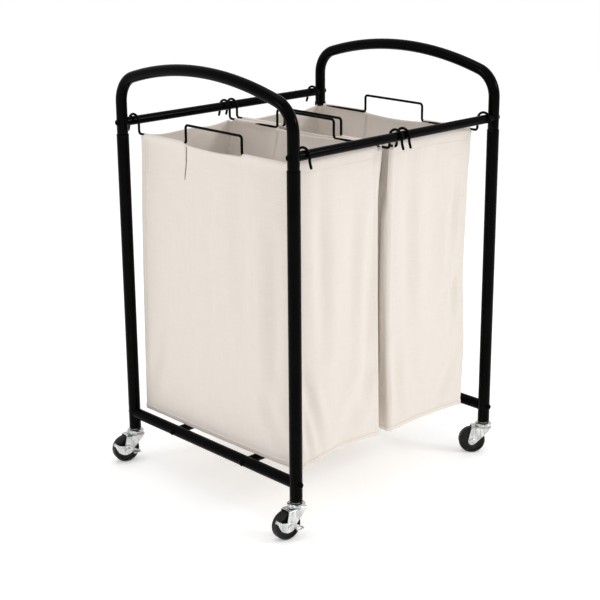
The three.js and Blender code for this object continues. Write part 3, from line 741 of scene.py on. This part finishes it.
def make_lever(corner, wheel_place):
    """A stamped rocker: a crescent plate, a tail curled in behind the tread, a toe tab bent outwards."""
    plane = FORK_WIDTH / 2 + FIT + LEVER_PLATE / 2
    bend = 1.5 * MM
    tail_radius = 32 * MM
    tail_angles = [math.radians(25 + 10 * i / 8) for i in range(9)]
    tail_start = tail_radius - bend
    tail_edge = [(tail_start * math.cos(a), tail_start * math.sin(a)) for a in tail_angles]
    tab_edge = [((-26 + 4.25 * i) * MM, -4 * MM) for i in range(5)]
    under = [(-3.2, -8), (2.2, -9.3), (8.6, -8.9), (15.1, -6), (21.1, -1.5), (24.6, 4.6), (26.8, 9.6)]
    over = [
        (19.6, 13.6), (12.6, 11.6), (4.6, 10.6), (-3.2, 9.6),
        (-8.6, 7.3), (-14, 2.4), (-20, -1.5), (-24.8, -3.1),
    ]
    outline = tab_edge + in_mm(under) + tail_edge + in_mm(over)
    bm = bmesh.new()
    rim = [bm.verts.new((x, plane, z)) for x, z in outline]
    bm.faces.new(rim)

    def strip(first, count, shapes):
        """Carries a stretch of the rim on through further rows."""
        row = edge = rim[first:first + count]
        for shape in shapes:
            new_row = [bm.verts.new(shape(i, vertex.co)) for i, vertex in enumerate(edge)]
            for i in range(count - 1):
                bm.faces.new((row[i], row[i + 1], new_row[i + 1], new_row[i]))
            row = new_row

    def tab_row(out, drop, narrow):
        return lambda i, co: Vector((co.x + narrow * (1 - i / 2), plane + out, co.z - drop))

    def tail_row(inward, radius):
        turns = [(math.cos(a), math.sin(a)) for a in tail_angles]
        return lambda i, co: Vector((radius * turns[i][0], plane - inward, radius * turns[i][1]))

    bends = [math.radians(30 * i) for i in range(1, 4)]
    tab = [tab_row(bend * (1 - math.cos(a)), bend * math.sin(a), 0) for a in bends]
    toe = ((4, 0), (6, 0.2), (7.6, 0.9), (8.4, 2.2))  # how far out each row is and how much narrower, in mm
    tab += [tab_row(out * MM, bend, narrow * MM) for out, narrow in toe]
    strip(0, len(tab_edge), tab)
    tail = [tail_row(bend * (1 - math.cos(a)), tail_radius - bend + bend * math.sin(a)) for a in bends]
    tail += [tail_row(inward * MM, tail_radius) for inward in (3.2, 5.4, 7.6)]
    strip(len(tab_edge) + len(under), len(tail_edge), tail)
    bmesh.ops.triangulate(bm, faces=[f for f in bm.faces if len(f.verts) > 4])
    bm.verts.index_update()
    shape = [v.co.copy() for v in bm.verts], [[v.index for v in f.verts] for f in bm.faces]
    bm.free()
    lever = add_zinc("brake_lever", corner, shape, wheel_place, "brake")
    modified(lever, LEVER_PLATE - 0.1 * MM, 0.45 * MM)


def make_caster(corner):
    axis = JOINTS[f"roll_{corner}"]["axis"]
    heading = math.atan2(-axis[0], axis[1])
    place = Matrix.Translation((POSTS[corner].x, POSTS[corner].y, 0)) @ Matrix.Rotation(heading, 4, "Z")
    wheel_place = place @ Matrix.Translation((TRAIL, 0, WHEEL_RADIUS))
    hub = wheel_place @ Matrix.Rotation(-math.pi / 2, 4, "X")
    make_socket(corner, place)
    make_stem(corner, place)
    make_balls(corner, place)
    make_fork(corner, place)
    make_axle(corner, hub)
    make_wheel(corner, hub)
    if corner in BRAKED:
        make_lever(corner, wheel_place)


# ---------------------------------------------------------------- hangers
def hanger_points(x):
    """From the tip of one hook, through the sleeves and over the bail, to the other tip."""
    touching = HOOK_RADIUS - WIRE_RADIUS - TOP_RAIL_RADIUS - FIT
    rail_z = TOP_RAIL["front"].z
    loop_y = HALF_DEPTH - HOOK_INSET
    loop_z = rail_z - math.sqrt(touching ** 2 - HOOK_INSET ** 2)
    outer = loop_y + HOOK_RADIUS
    bail_bend = 6 * MM
    half = [
        *arc(BAIL_HALF - bail_bend, BAIL_TOP - bail_bend, bail_bend, 90, 0, 8),
        *arc(BAIL_HALF + bail_bend, SLEEVE_HEIGHT + bail_bend, bail_bend, 180, 270, 8),
        *arc(loop_y - HOOK_RADIUS - HOOK_BEND, SLEEVE_HEIGHT + HOOK_BEND, HOOK_BEND, -90, 0, 8),
        *arc(loop_y, loop_z, HOOK_RADIUS, 180, 0, 28),
        Vector((0, outer, rail_z - HOOK_STRAIGHT)),
        Vector((0, outer + 0.15 * HOOK_TIP_SPLAY, rail_z - 12 * MM)),
        Vector((0, outer + HOOK_TIP_SPLAY, rail_z - HOOK_TIP_DROP)),
    ]
    both = [Vector((0, -p.y, p.z)) for p in reversed(half)] + half
    return [Vector((x, p.y + CENTRE.y, p.z)) for p in both]


def make_hanger(side, place):
    points, radii = round_ends(hanger_points(WIRES[f"{side}_{place}"]), WIRE_RADIUS)
    surface = Surface().add(*sweep(points, radii, 20))
    add_piece(f"hanger_{side}_{place}", surface, WIRE_COAT, f"{side}_bag_set", "wire")


# ---------------------------------------------------------------- bags
PANELS = ("front", "east", "back", "west")
OUTWARD = {"front": (0, -1), "east": (1, 0), "back": (0, 1), "west": (-1, 0)}
HANGING = ("east", "west")  # the panels that hang from the wires
CLOTH = 1.0 * MM
HEM_SIDE = 77 * MM  # depth of the pocket that the wire runs through
HEM_FREE = 20 * MM
BAG_CORNER = 6 * MM
SLEEVE_END = 86 * MM
FLOOR_HEIGHT = 113.2 * MM
LEVELS = [690, 640, 540, 400, 250, 112]  # heights in mm at which the sides of a bag are given

# The X in mm of the four upright edges of each bag at those heights, from the middle of the frame
EDGES = {
    "left": {
        "west_front": [-246, -247.5, -249.5, -250.5, -251, -251.5],
        "east_front": [-32.5, -33.4, -34.6, -36.4, -35.5, -34.2],
        "east_back": [-10, -15, -22, -27, -31, -33],
        "west_back": [-246, -247.5, -249.5, -250.5, -251, -251.5],
    },
    "right": {
        "west_front": [2.9, -3.3, -9.8, -12.1, -10.5, -5.6],
        "east_front": [235.5, 230.3, 223.9, 214.7, 221, 211.9],
        "east_back": [246, 240, 232, 226, 221, 215],
        "west_back": [10, 6, 1, -3, -4, -4],
    },
}
DEPTHS = [219, 220.5, 223, 226, 229, 231]  # half the depth of a bag at those heights

# Height in mm of the lower edge at the start, middle and end of each panel
HEMLINES = {
    "left": {
        "front": (117, 130, 125), "east": (125, 117, 116), "back": (116, 121, 112), "west": (112, 112, 117),
    },
    "right": {
        "front": (123, 126, 120), "east": (120, 116, 116), "back": (116, 120, 115), "west": (115, 117, 123),
    },
}
SAG = {"left": 9, "right": 11}  # how far the free back rims hang, in mm
FRONT_RIMS = {"left": (4, 4.5, 4), "right": (4, 7, 1)}  # start, middle and end, in mm above the wire
CORNER_TURN = 14 * MM  # along a hanging side, where its cloth leaves the wire for the corner
PINNED_TO = 150 * MM  # below the rim, where the sides stop following the wire
CREASE_GAIN = 2.4
DART_TOP = 80 * MM  # from the middle of a hanging side
DART_LEAN = 8 * MM  # how much further out its foot is
DART_LENGTH = 68 * MM
HEM_LAYER = {"inner": 1.25 * MM, "outer": 0.15 * MM}  # how far each side of a hem stands off the panel
NOTCH_DROP = 5.2 * MM  # how far the rim dips under the wire where it comes out at a corner
FREE_FOLD = 1.7 * MM  # radius of the fold over a rim with no wire in it
LAYER_LIFT = 0.2 * MM  # how far a single outer layer stands off its plain panel
FOOT_TOP = 16 * MM  # above the lower edge, where the rows get closer for its seam
FALL_START = 1.08  # in hem depths below the rim, where a hem's last row is
SEAM_WIDTH = 9.7  # in mm, of the thicker cloth beside an upright seam
GRID_STEP = 6 * MM
FALL_LENGTH = 460 * MM  # about the plain height of a panel; it sets the number of its rows
SLEEVE_CORNER = 208 * MM  # from the middle of a hanging side, where the sleeve narrows
EDGE_CALM = 45 * MM  # beside a seam, where the cloth is held and moves less

# Unevenness of the cloth: how high it is in mm, and how many turns it makes in a metre
SOFT_FOLDS = (4.4, 11)
RUMPLES = (0.6, 30)
SLUBS = (0.15, 75)
UPRIGHT_STRETCH = 0.34  # soft folds and rumples are longer up and down by this share
SLACK = {"front": 3.5, "back": 4.0, "east": -1.5, "west": 1.5}  # of each panel's middle, in mm
HEM_SHOWN = 48 * MM  # from a corner, how far the hem stitching of a hanging side runs

# Creases pressed into the cloth: panel, from (along, height) to (along, height), width, depth; all in mm
CREASES = {
    "left": [
        ("front", (14, 300), (52, 150), 12, 2.6), ("front", (10, 240), (30, 132), 9, 2.2),
        ("front", (60, 665), (66, 330), 16, 2.0), ("front", (150, 640), (140, 380), 20, 1.6),
        ("front", (196, 560), (176, 200), 14, 2.4), ("front", (205, 300), (120, 150), 18, 1.6),
        ("west", (140, 640), (150, 330), 26, 2.6), ("west", (215, 600), (205, 250), 30, 2.2),
        ("west", (300, 610), (312, 300), 26, 2.6), ("west", (395, 540), (380, 210), 20, 2.0),
        ("west", (60, 300), (22, 150), 16, 2.0), ("west", (350, 250), (415, 135), 18, 2.2),
        ("east", (30, 685), (36, 520), 6, 3.0), ("east", (52, 685), (50, 560), 7, 2.6),
        ("east", (120, 660), (140, 300), 22, 3.0), ("east", (300, 660), (290, 330), 24, 3.0),
        ("back", (60, 660), (70, 300), 20, 2.4), ("back", (160, 640), (150, 260), 22, 2.2),
        ("back", (30, 300), (12, 140), 12, 2.4),
    ],
    "right": [
        ("front", (50, 665), (58, 360), 18, 1.8), ("front", (120, 650), (128, 260), 22, 1.8),
        ("front", (190, 620), (180, 430), 12, 3.2), ("front", (196, 420), (188, 300), 10, 3.0),
        ("front", (200, 250), (150, 140), 14, 2.2), ("front", (20, 300), (30, 150), 12, 2.0),
        ("west", (410, 686), (402, 540), 6, 3.2), ("west", (388, 686), (390, 580), 7, 2.8),
        ("west", (425, 600), (418, 250), 7, 2.4), ("west", (300, 660), (290, 300), 24, 3.0),
        ("west", (140, 660), (150, 330), 24, 3.0),
        ("east", (130, 640), (140, 300), 26, 2.8), ("east", (250, 620), (240, 260), 28, 2.6),
        ("east", (340, 600), (350, 280), 24, 2.6), ("east", (40, 320), (14, 150), 14, 2.2),
        ("back", (70, 660), (64, 320), 20, 2.4), ("back", (150, 640), (160, 260), 22, 2.2),
    ],
}


def clamp(value):
    return min(max(value, 0), 1)


def smooth_step(share):
    return share * share * (3 - 2 * share)


def fine_places(length, step, *special):
    """Places from 0 to length a step apart, with closer ones given for seams."""
    coarse = np.linspace(0, length, max(2, round(length / step) + 1))
    fixed = sorted({round(p, 7) for group in special for p in group if 0 <= p <= length} | {0, length})
    free = [p for p in coarse if min(abs(p - f) for f in fixed) > step * 0.45]
    return sorted([*fixed, *free])


class Bag:
    """A sewn canvas bag as one sheet: pocket hems inside, over the rim and down to the lower edge."""

    def __init__(self, side):
        self.side = side
        self.seed = SIDES.index(side) * 37.0
        self.seam_places = [d * MM for d in (1.2, 3, 5.5, 8.2, 9.2, 9.8, 10.6, 12, 15)]
        self.make_columns()
        self.make_rows()

    def knots(self, name):
        """The mean distance between the two upright edges of a panel."""
        edges = EDGES[self.side]
        if name not in HANGING:
            pair = np.array(edges[f"east_{name}"]) - np.array(edges[f"west_{name}"])
            return float(np.mean(pair[1:])) * MM
        return 2 * float(np.mean(DEPTHS)) * MM

    def close_places(self, name, length):
        """Groups of places along a panel that need columns of their own: seams, pocket ends and darts."""
        groups = [[*self.seam_places, *(length - d for d in self.seam_places)]]
        if name in HANGING:
            ends = [SLEEVE_END + d * MM for d in (-6, -4, -2, 0, 2, 4)]
            dart = [(76 + 0.9 * i) * MM for i in range(21)]
            groups += [[length / 2 + sign * d for sign in (-1, 1) for d in group] for group in (ends, dart)]
        return groups

    def make_columns(self):
        """Each column: its panel, weights on the four upright edges, offset and outward direction."""
        self.columns = []
        reach = 0.0
        for p, name in enumerate(PANELS):
            length = self.knots(name) - 2 * BAG_CORNER
            full = length + 2 * BAG_CORNER
            for place in fine_places(length, GRID_STEP, *self.close_places(name, length)):
                share = (place + BAG_CORNER) / full
                weights = np.zeros(4)
                weights[p], weights[(p + 1) % 4] = 1 - share, share
                self.columns.append({
                    "panel": name, "along": place + BAG_CORNER, "length": full, "weights": weights,
                    "offset": (0, 0), "out": OUTWARD[name], "u": reach + place, "bend": 0,
                })
            reach += length
            self.add_corner(p, name, reach)
            reach += BAG_CORNER * math.pi / 2
        self.around = reach

    def add_corner(self, p, name, reach):
        """Five columns round the corner at the end of a panel."""
        nx, ny = OUTWARD[name]
        centre_x, centre_y = -BAG_CORNER * (nx - ny), -BAG_CORNER * (ny + nx)
        weights = np.zeros(4)
        weights[(p + 1) % 4] = 1
        for i in range(1, 6):
            turn = math.atan2(ny, nx) + math.pi / 2 * i / 6
            out_x, out_y = math.cos(turn), math.sin(turn)
            before = i < 4
            self.columns.append({
                "panel": name if before else PANELS[(p + 1) % 4],
                "along": self.knots(name) if before else 0.0, "length": self.knots(name),
                "weights": weights, "offset": (centre_x + BAG_CORNER * out_x, centre_y + BAG_CORNER * out_y),
                "out": (out_x, out_y), "u": reach + BAG_CORNER * math.pi / 2 * i / 6, "bend": 1,
            })

    def make_rows(self):
        """Each row: which layer it is on and how far it is below the rim, or its angle over the fold."""
        inner = [1, 0.99, 0.8, 0.6, 0.43, 0.3, 0.2, 0.13, 0.07, 0.03]
        outer = [0.03, 0.07, 0.12, 0.18, 0.26, 0.36, 0.48, 0.6, 0.72, 0.84, 0.92]
        outer += [0.965, 0.985, 1, 1.012, 1.03, FALL_START]
        foot = [FOOT_TOP / MM, 13, 11, 10.2, 9.6, 9, 7.5, 5, 3, 1.4, 0.5, 0]
        falls = 1 - np.array(fine_places(FALL_LENGTH, GRID_STEP, [0])) / FALL_LENGTH
        self.rows = [("inner", share) for share in inner]
        self.rows += [("fold", math.pi * i / 10) for i in range(11)]
        self.rows += [("outer", share) for share in outer]
        self.rows += [("fall", float(f)) for f in falls[::-1][1:]]
        self.rows += [("foot", height * MM) for height in foot]

    def rim(self, column):
        """Height of the fold's centre, its radius and the depth of the hem at a column."""
        centred = column["along"] - column["length"] / 2
        if column["panel"] in HANGING:
            from_leg = abs(centred) - (SLEEVE_END - 2 * MM)
            sleeve = 0.3 if column["bend"] else clamp(0.5 + from_leg / (7 * MM))
            sleeve *= 1 - 0.7 * clamp((abs(centred) - SLEEVE_CORNER) / (8 * MM))
            dip = 3.4 * MM + 3 * MM * math.cos(min(abs(centred) / SLEEVE_END, 1) * math.pi / 2)
            height = SLEEVE_HEIGHT - (1 - sleeve) * (dip if abs(centred) < SLEEVE_END else 0.4 * MM)
            return height, FREE_FOLD + 2.0 * MM * sleeve, HEM_SIDE
        share = clamp(column["along"] / column["length"])
        if column["panel"] == "front":
            start, middle_rise, end = FRONT_RIMS[self.side]
            bulge = middle_rise - (start + end) / 2
            rise = start * (1 - share) + end * share + bulge * 4 * share * (1 - share)
            return SLEEVE_HEIGHT + rise * MM, FREE_FOLD, HEM_FREE
        sag = SAG[self.side] * MM
        hang = (4 * share * (1 - share)) ** 0.7
        lean = 0.25 * math.sin(3 * math.pi * share) * hang
        return SLEEVE_HEIGHT + 0.6 * MM - sag * (hang + lean), FREE_FOLD, HEM_FREE

    def notch(self, column):
        """From 0 to 1 where the rim dips to let the wire out at a corner."""
        if column["bend"]:
            return 1.0
        reach = 15 * MM if column["panel"] in HANGING else 8 * MM
        near = min(column["along"], column["length"] - column["along"])
        return smooth_step(max(0.0, 1 - near / reach))

    def pinned(self, column, below):
        """How closely the cloth of a hanging side follows its wire, at distances below the rim."""
        if column["bend"] or column["panel"] not in HANGING:
            return np.zeros(len(below))
        return 1 - smooth_step(np.clip(below / PINNED_TO, 0, 1))

    def wire_side(self, column, edges):
        """X of a hanging side that is straight under its wire and turns off to the two corners."""
        name = column["panel"]
        if name not in HANGING:
            return edges[0]
        inner = (name == "east") == (self.side == "left")
        wire = WIRES[f"{self.side}_{'inner' if inner else 'outer'}"]
        first, last = (edges[1], edges[2]) if name == "east" else (edges[3], edges[0])
        from_first = max(0.0, 1 - column["along"] / CORNER_TURN)
        from_last = max(0.0, 1 - (column["length"] - column["along"]) / CORNER_TURN)
        return wire + (first - wire) * from_first + (last - wire) * from_last

    def edge_positions(self, heights):
        """The four upright edges at the given heights, as X and Y."""
        levels = np.array(LEVELS[::-1]) * MM
        fine = np.arange(0.06, 0.75, 1 * MM)
        window = np.ones(61) / 61

        def smooth(values):
            table = np.interp(fine, levels, np.array(values[::-1]) * MM)
            return np.interp(heights, fine, np.convolve(np.pad(table, 30, "edge"), window, "valid"))

        edges = EDGES[self.side]
        depth = smooth(DEPTHS)
        sign = {"front": -1, "back": 1}
        positions = []
        for name in ("west_front", "east_front", "east_back", "west_back"):
            positions.append((smooth(edges[name]) + CENTRE.x, sign[name.split("_")[1]] * depth + CENTRE.y))
        return positions

    def relief(self, column, height, x, y, fall):
        """How far the cloth stands out from its plain panel: slack, soft folds, creases and seams."""
        name, along, length = column["panel"], column["along"], column["length"]
        near_edge = min(along, length - along)
        free = min(near_edge / EDGE_CALM, 1) ** 0.8 if not column["bend"] else 0
        low = min(max(height - 0.115, 0) / 0.05, 1)
        belly = math.sin(math.pi * clamp(along / length)) * math.sin(math.pi * fall) * free
        depth = SLACK[name] * belly
        spot = Vector((x, y, height * UPRIGHT_STRETCH))
        high, often = SOFT_FOLDS
        depth += high * noise.noise(spot * often + Vector((self.seed, 0, 0))) * (0.15 + 0.85 * free) * low
        high, often = RUMPLES
        depth += high * noise.noise(spot * often + Vector((0, self.seed, 5))) * (0.25 + 0.75 * free)
        high, often = SLUBS
        depth += high * noise.noise(Vector((x, y, height)) * often)
        if not column["bend"]:
            depth = self.creased(depth, name, np.array((along / MM, height / MM)))
        border = min(near_edge, 20 * MM)
        raised = 0.9 / (1 + math.exp((border / MM - SEAM_WIDTH) / 0.35))
        return depth * MM + raised * MM

    def creased(self, depth, name, here):
        """The depth with a panel's creases pressed into it, each with a soft ridge along both sides."""
        for panel, start, end, width, deep in CREASES[self.side]:
            if panel != name:
                continue
            a, b = np.array(start), np.array(end)
            t = float(np.clip((here - a) @ (b - a) / ((b - a) @ (b - a)), 0, 1))
            gap = np.linalg.norm(here - a - t * (b - a))
            if gap < 3 * width:
                shade = math.exp(-(gap / width) ** 2) - 0.45 * math.exp(-((gap - 1.7 * width) / width) ** 2)
                fade = 0.35 + 0.65 * math.sin(math.pi * min(max(t, 0.02), 0.98))
                depth -= CREASE_GAIN * deep * shade * fade
        return depth

    def dart(self, column, below):
        """The fold in the pocket under each leg of the bail, wide at the rim and closed at its foot."""
        if column["panel"] not in HANGING or column["bend"] or not 0 <= below < DART_LENGTH:
            return 0
        centred = (column["along"] - column["length"] / 2) * (-1 if column["panel"] == "west" else 1)
        share = 1 - below / DART_LENGTH
        at = DART_TOP + DART_LEAN * (1 - share)
        strength = 1.0 if centred > 0 else 0.1
        across = (abs(centred) - at) / ((0.7 + 2.1 * share) * MM)
        return -strength * (1 + 3.5 * share) * MM * math.exp(-across ** 2)

    def row_place(self, kind, value, rim, fold, hem, foot):
        """The height of a row at a column, and how far its layer stands off the plain panel."""
        if kind == "fold":
            return rim + fold * math.sin(value), -fold * math.cos(value)
        if kind == "fall":
            top, low = rim - hem * FALL_START, foot + FOOT_TOP
            return top + (low - top) * value, LAYER_LIFT
        if kind == "foot":
            seam = 1.0 / (1 + math.exp((value / MM - 9.6) / 0.3))
            return foot + value, (seam - 0.6 * math.exp(-(value / (1.5 * MM)) ** 2)) * MM
        below = value * hem
        layer = HEM_LAYER[kind] + (fold - HEM_LAYER[kind]) * math.exp(-(below / (8 * MM)) ** 2)
        if kind == "inner":
            return rim - below, -layer
        return rim - below, layer / (1 + math.exp((value - 1.0) * 160)) + LAYER_LIFT

    def hem_foot(self, column):
        """Height of the lower edge at a column."""
        share = clamp(column["along"] / column["length"])
        start, middle_height, end = HEMLINES[self.side][column["panel"]]
        bulge = middle_height - (start + end) / 2
        return (start * (1 - share) + end * share + bulge * math.sin(math.pi * share)) * MM

    def grid(self):
        """Positions of every row and column, and the cloth's own coordinates."""
        places = np.zeros((len(self.rows), len(self.columns), 3))
        flat = np.zeros((len(self.rows), len(self.columns)))
        for j, column in enumerate(self.columns):
            rim, fold, hem = self.rim(column)
            notch = self.notch(column)
            rim += (SLEEVE_HEIGHT - NOTCH_DROP - rim) * notch
            fold += (1.5 * MM - fold) * notch
            foot = self.hem_foot(column)
            rows = [self.row_place(kind, value, rim, fold, hem, foot) for kind, value in self.rows]
            heights = np.array([height for height, _ in rows])
            edges = self.edge_positions(heights)
            x, y = (
                sum(w * edge[k] for w, edge in zip(column["weights"], edges)) + column["offset"][k]
                for k in (0, 1)
            )
            pinned = self.pinned(column, rim - heights)
            x = x + pinned * (self.wire_side(column, [edge[0] for edge in edges]) - x)
            for i, (height, offset) in enumerate(rows):
                below = rim - height
                out = offset + self.relief(column, height, x[i], y[i], clamp(below / (rim - foot)))
                out += self.dart(column, below)
                places[i, j] = (x[i] + column["out"][0] * out, y[i] + column["out"][1] * out, height)
            steps = np.linalg.norm(np.diff(places[:, j], axis=0), axis=1)
            flat[1:, j] = np.cumsum(steps)
        return places, flat

    def make(self):
        places, flat = self.grid()
        rows, columns = places.shape[:2]
        vertices = [tuple(p) for p in places.reshape(-1, 3)]
        faces, cloth = [], []
        u = [column["u"] for column in self.columns] + [self.around]
        for i in range(rows - 1):
            for j in range(columns):
                k = (j + 1) % columns
                corners = ((i, j, j), (i + 1, j, j), (i + 1, k, j + 1), (i, k, j + 1))
                faces.append(tuple(row * columns + at for row, at, _ in corners))
                cloth += [(u[reach], flat[row, at]) for row, at, reach in corners]
        self.add_floor(places[-1], vertices, faces, cloth)
        surface = Surface()
        surface.vertices, surface.faces = vertices, faces
        body = f"{self.side}_bag_set"
        bag = add_piece(f"bag_{self.side}", surface, CANVAS, body, "canvas", tidy=False, sharp=75)
        layer = bag.data.uv_layers.new(name="cloth")
        layer.data.foreach_set("uv", [value for pair in cloth for value in pair])
        solidify = bag.modifiers.new("thickness", "SOLIDIFY")
        solidify.thickness = CLOTH
        solidify.offset = -1
        flat, area = self.cut()
        stitching = self.make_stitching(places, body)
        # dark thread in the slits, a painted shadow of the open slits
        slit_shadows = self.make_slit_shadows(places, body)

    def cut(self):
        """The cloth before sewing: four panels in a row with their hems, and the bottom under one."""
        front, side, back = (self.knots(name) for name in ("front", "east", "back"))
        wall = SLEEVE_HEIGHT - FLOOR_HEIGHT
        area = 2 * side * (wall + HEM_SIDE) + (front + back) * (wall + HEM_FREE) + front * side
        return (front + back + 2 * side, wall + HEM_SIDE + side), area

    def add_floor(self, edge, vertices, faces, cloth):
        """The bottom panel, sewn to the lower edge and lying on the two bottom rails."""
        count = len(edge)
        first = len(vertices) - count
        centre_x, centre_y = edge[:, 0].mean(), edge[:, 1].mean()
        shares = [0.012, 0.03, 0.06, 0.1, 0.16, 0.24, 0.34, 0.46, 0.58, 0.7, 0.82, 0.92]
        ring_starts = [first]
        for share in shares:
            ring_starts.append(len(vertices))
            for x, y, z in edge:
                px, py = x + (centre_x - x) * share, y + (centre_y - y) * share
                wave = 0.9 * MM * noise.noise(Vector((px, py, 3 + self.seed)) * 18)
                height = FLOOR_HEIGHT + abs(wave) + (z - FLOOR_HEIGHT) * (1 - share) ** 7
                vertices.append((px, py, height))
        for a, b in zip(ring_starts, ring_starts[1:]):
            for j in range(count):
                k = (j + 1) % count
                faces.append((a + j, b + j, b + k, a + k))
        hub = len(vertices)
        vertices.append((centre_x, centre_y, FLOOR_HEIGHT + 0.3 * MM))
        faces += [(ring_starts[-1] + j, hub, ring_starts[-1] + (j + 1) % count) for j in range(count)]
        for face in faces[-(len(shares) * count + count):]:
            cloth += [(vertices[i][0], vertices[i][1]) for i in face]

    def nearest_column(self, panel, along):
        choices = [i for i, c in enumerate(self.columns) if c["panel"] == panel and not c["bend"]]
        return min(choices, key=lambda i: abs(self.columns[i]["along"] - along))

    def make_slit_shadows(self, places, body):
        """Dark brown thread laid in the slits beside the back legs of the bails as a painted shadow of the
        open slits, tapering to their feet.
        """
        outer = [i for i, row in enumerate(self.rows) if row[0] == "outer"]
        surface = Surface()
        for name, sign in (("east", 1), ("west", -1)):
            half = self.knots(name) / 2
            points, radii = [], []
            steps = 16
            for n in range(steps + 1):
                share = 1 - n / steps
                at = DART_TOP + DART_LEAN * (1 - share)
                line = places[outer, self.nearest_column(name, half + sign * at)]
                height = line[0, 2] - 1 * MM - (1 - share) * DART_LENGTH
                spot = [float(np.interp(height, line[::-1, 2], line[::-1, k])) for k in (0, 1)]
                points.append(Vector((spot[0] + sign * 0.9 * MM, spot[1], height)))
                radii.append((0.3 + 1.0 * share ** 0.7) * MM)
            surface.add(*sweep(points, radii, 10))
        return add_piece(f"bag_slits_{self.side}", surface, SLIT_SHADOW_THREAD, body, "canvas", stands_for=False)

    def make_stitching(self, places, body):
        """Lines of thread along the upright seams, the lower edge, the hems and the ends of the pockets."""
        rows = self.rows
        seam, pocket_end = BAG_CORNER + 8.2 * MM, BAG_CORNER + 15 * MM
        foot_row = next(i for i, r in enumerate(rows) if r[0] == "foot" and r[1] < 8 * MM)
        outer = [i for i, r in enumerate(rows) if r[0] in ("outer", "fall", "foot")]
        hem_row = next(i for i, r in enumerate(rows) if r[0] == "outer" and r[1] >= 0.965)
        pocket_rows = [i for i, r in enumerate(rows) if r[0] == "outer" and 0.1 < r[1] <= 0.985]
        lines = []
        for name in PANELS:
            length = self.knots(name)
            first, last = (self.nearest_column(name, along) for along in (BAG_CORNER, length - BAG_CORNER))
            span = range(first, last + 1)
            along = {i: self.columns[i]["along"] for i in span}
            shown = span
            if name in HANGING:
                for at in (seam, length - seam):
                    lines.append(places[outer[2]:foot_row, self.nearest_column(name, at)])
                for at in (pocket_end, length - pocket_end):
                    lines.append(places[pocket_rows, self.nearest_column(name, at)])
                shown = [i for i in span if min(along[i], length - along[i]) < HEM_SHOWN]
            lines.append(places[foot_row, span])
            for past_middle in (False, True):
                part = [i for i in shown if (along[i] > length / 2) == past_middle]
                lines.append(places[hem_row, part])
        surface = Surface()
        centre = Vector((places[:, :, 0].mean(), places[:, :, 1].mean(), 0))
        for line in lines:
            add_stitches(surface, [Vector(p) for p in line], centre)
        name = f"bag_stitching_{self.side}"
        return add_piece(name, surface, THREAD, body, "canvas", stands_for=False, tidy=False)


BEAD = ((0, 0.3), (0.12, 0.9), (0.5, 1.05), (0.88, 0.9), (1, 0.3))  # place along a stitch and its swell
BEAD_LIFT = 0.22 * MM  # how far a stitch stands off its line
BAG_HALF = (0.11, 0.22)  # about half the width and half the depth of a bag


def add_stitches(surface, line, centre, pitch=4.0 * MM, length=2.9 * MM, radius=0.3 * MM):
    """Short raised threads along a line of points."""
    sides = 6
    gaps = [(b - a).length for a, b in zip(line, line[1:])]
    reach = np.concatenate([[0], np.cumsum(gaps)])
    xyz = np.array([tuple(p) for p in line])

    def at(distance):
        return Vector([float(np.interp(distance, reach, xyz[:, k])) for k in range(3)])

    for n in range(int(reach[-1] / pitch)):
        start, end = at(n * pitch), at(n * pitch + length)
        along = (end - start).normalized()
        away = Vector((start.x - centre.x, start.y - centre.y, 0))
        out = Vector((0, 0, 0))
        out[0 if abs(away.x) / BAG_HALF[0] > abs(away.y) / BAG_HALF[1] else 1] = 1
        out = out if out.dot(away) > 0 else -out
        side = along.cross(out)
        rings = []
        for share, swell in BEAD:
            spot = start + (end - start) * share + out * BEAD_LIFT
            for j in range(sides):
                angle = math.tau * j / sides
                rings.append(spot + (side * math.cos(angle) + out * math.sin(angle)) * radius * swell)
        surface.add(*capped(rings, ring_faces(len(BEAD), sides), sides))


make_camera()
make_studio()
make_floor()
make_frame()
for corner in CORNERS:
    make_caster(corner)
for side in SIDES:
    for place in ("outer", "inner"):
        make_hanger(side, place)
    Bag(side).make()
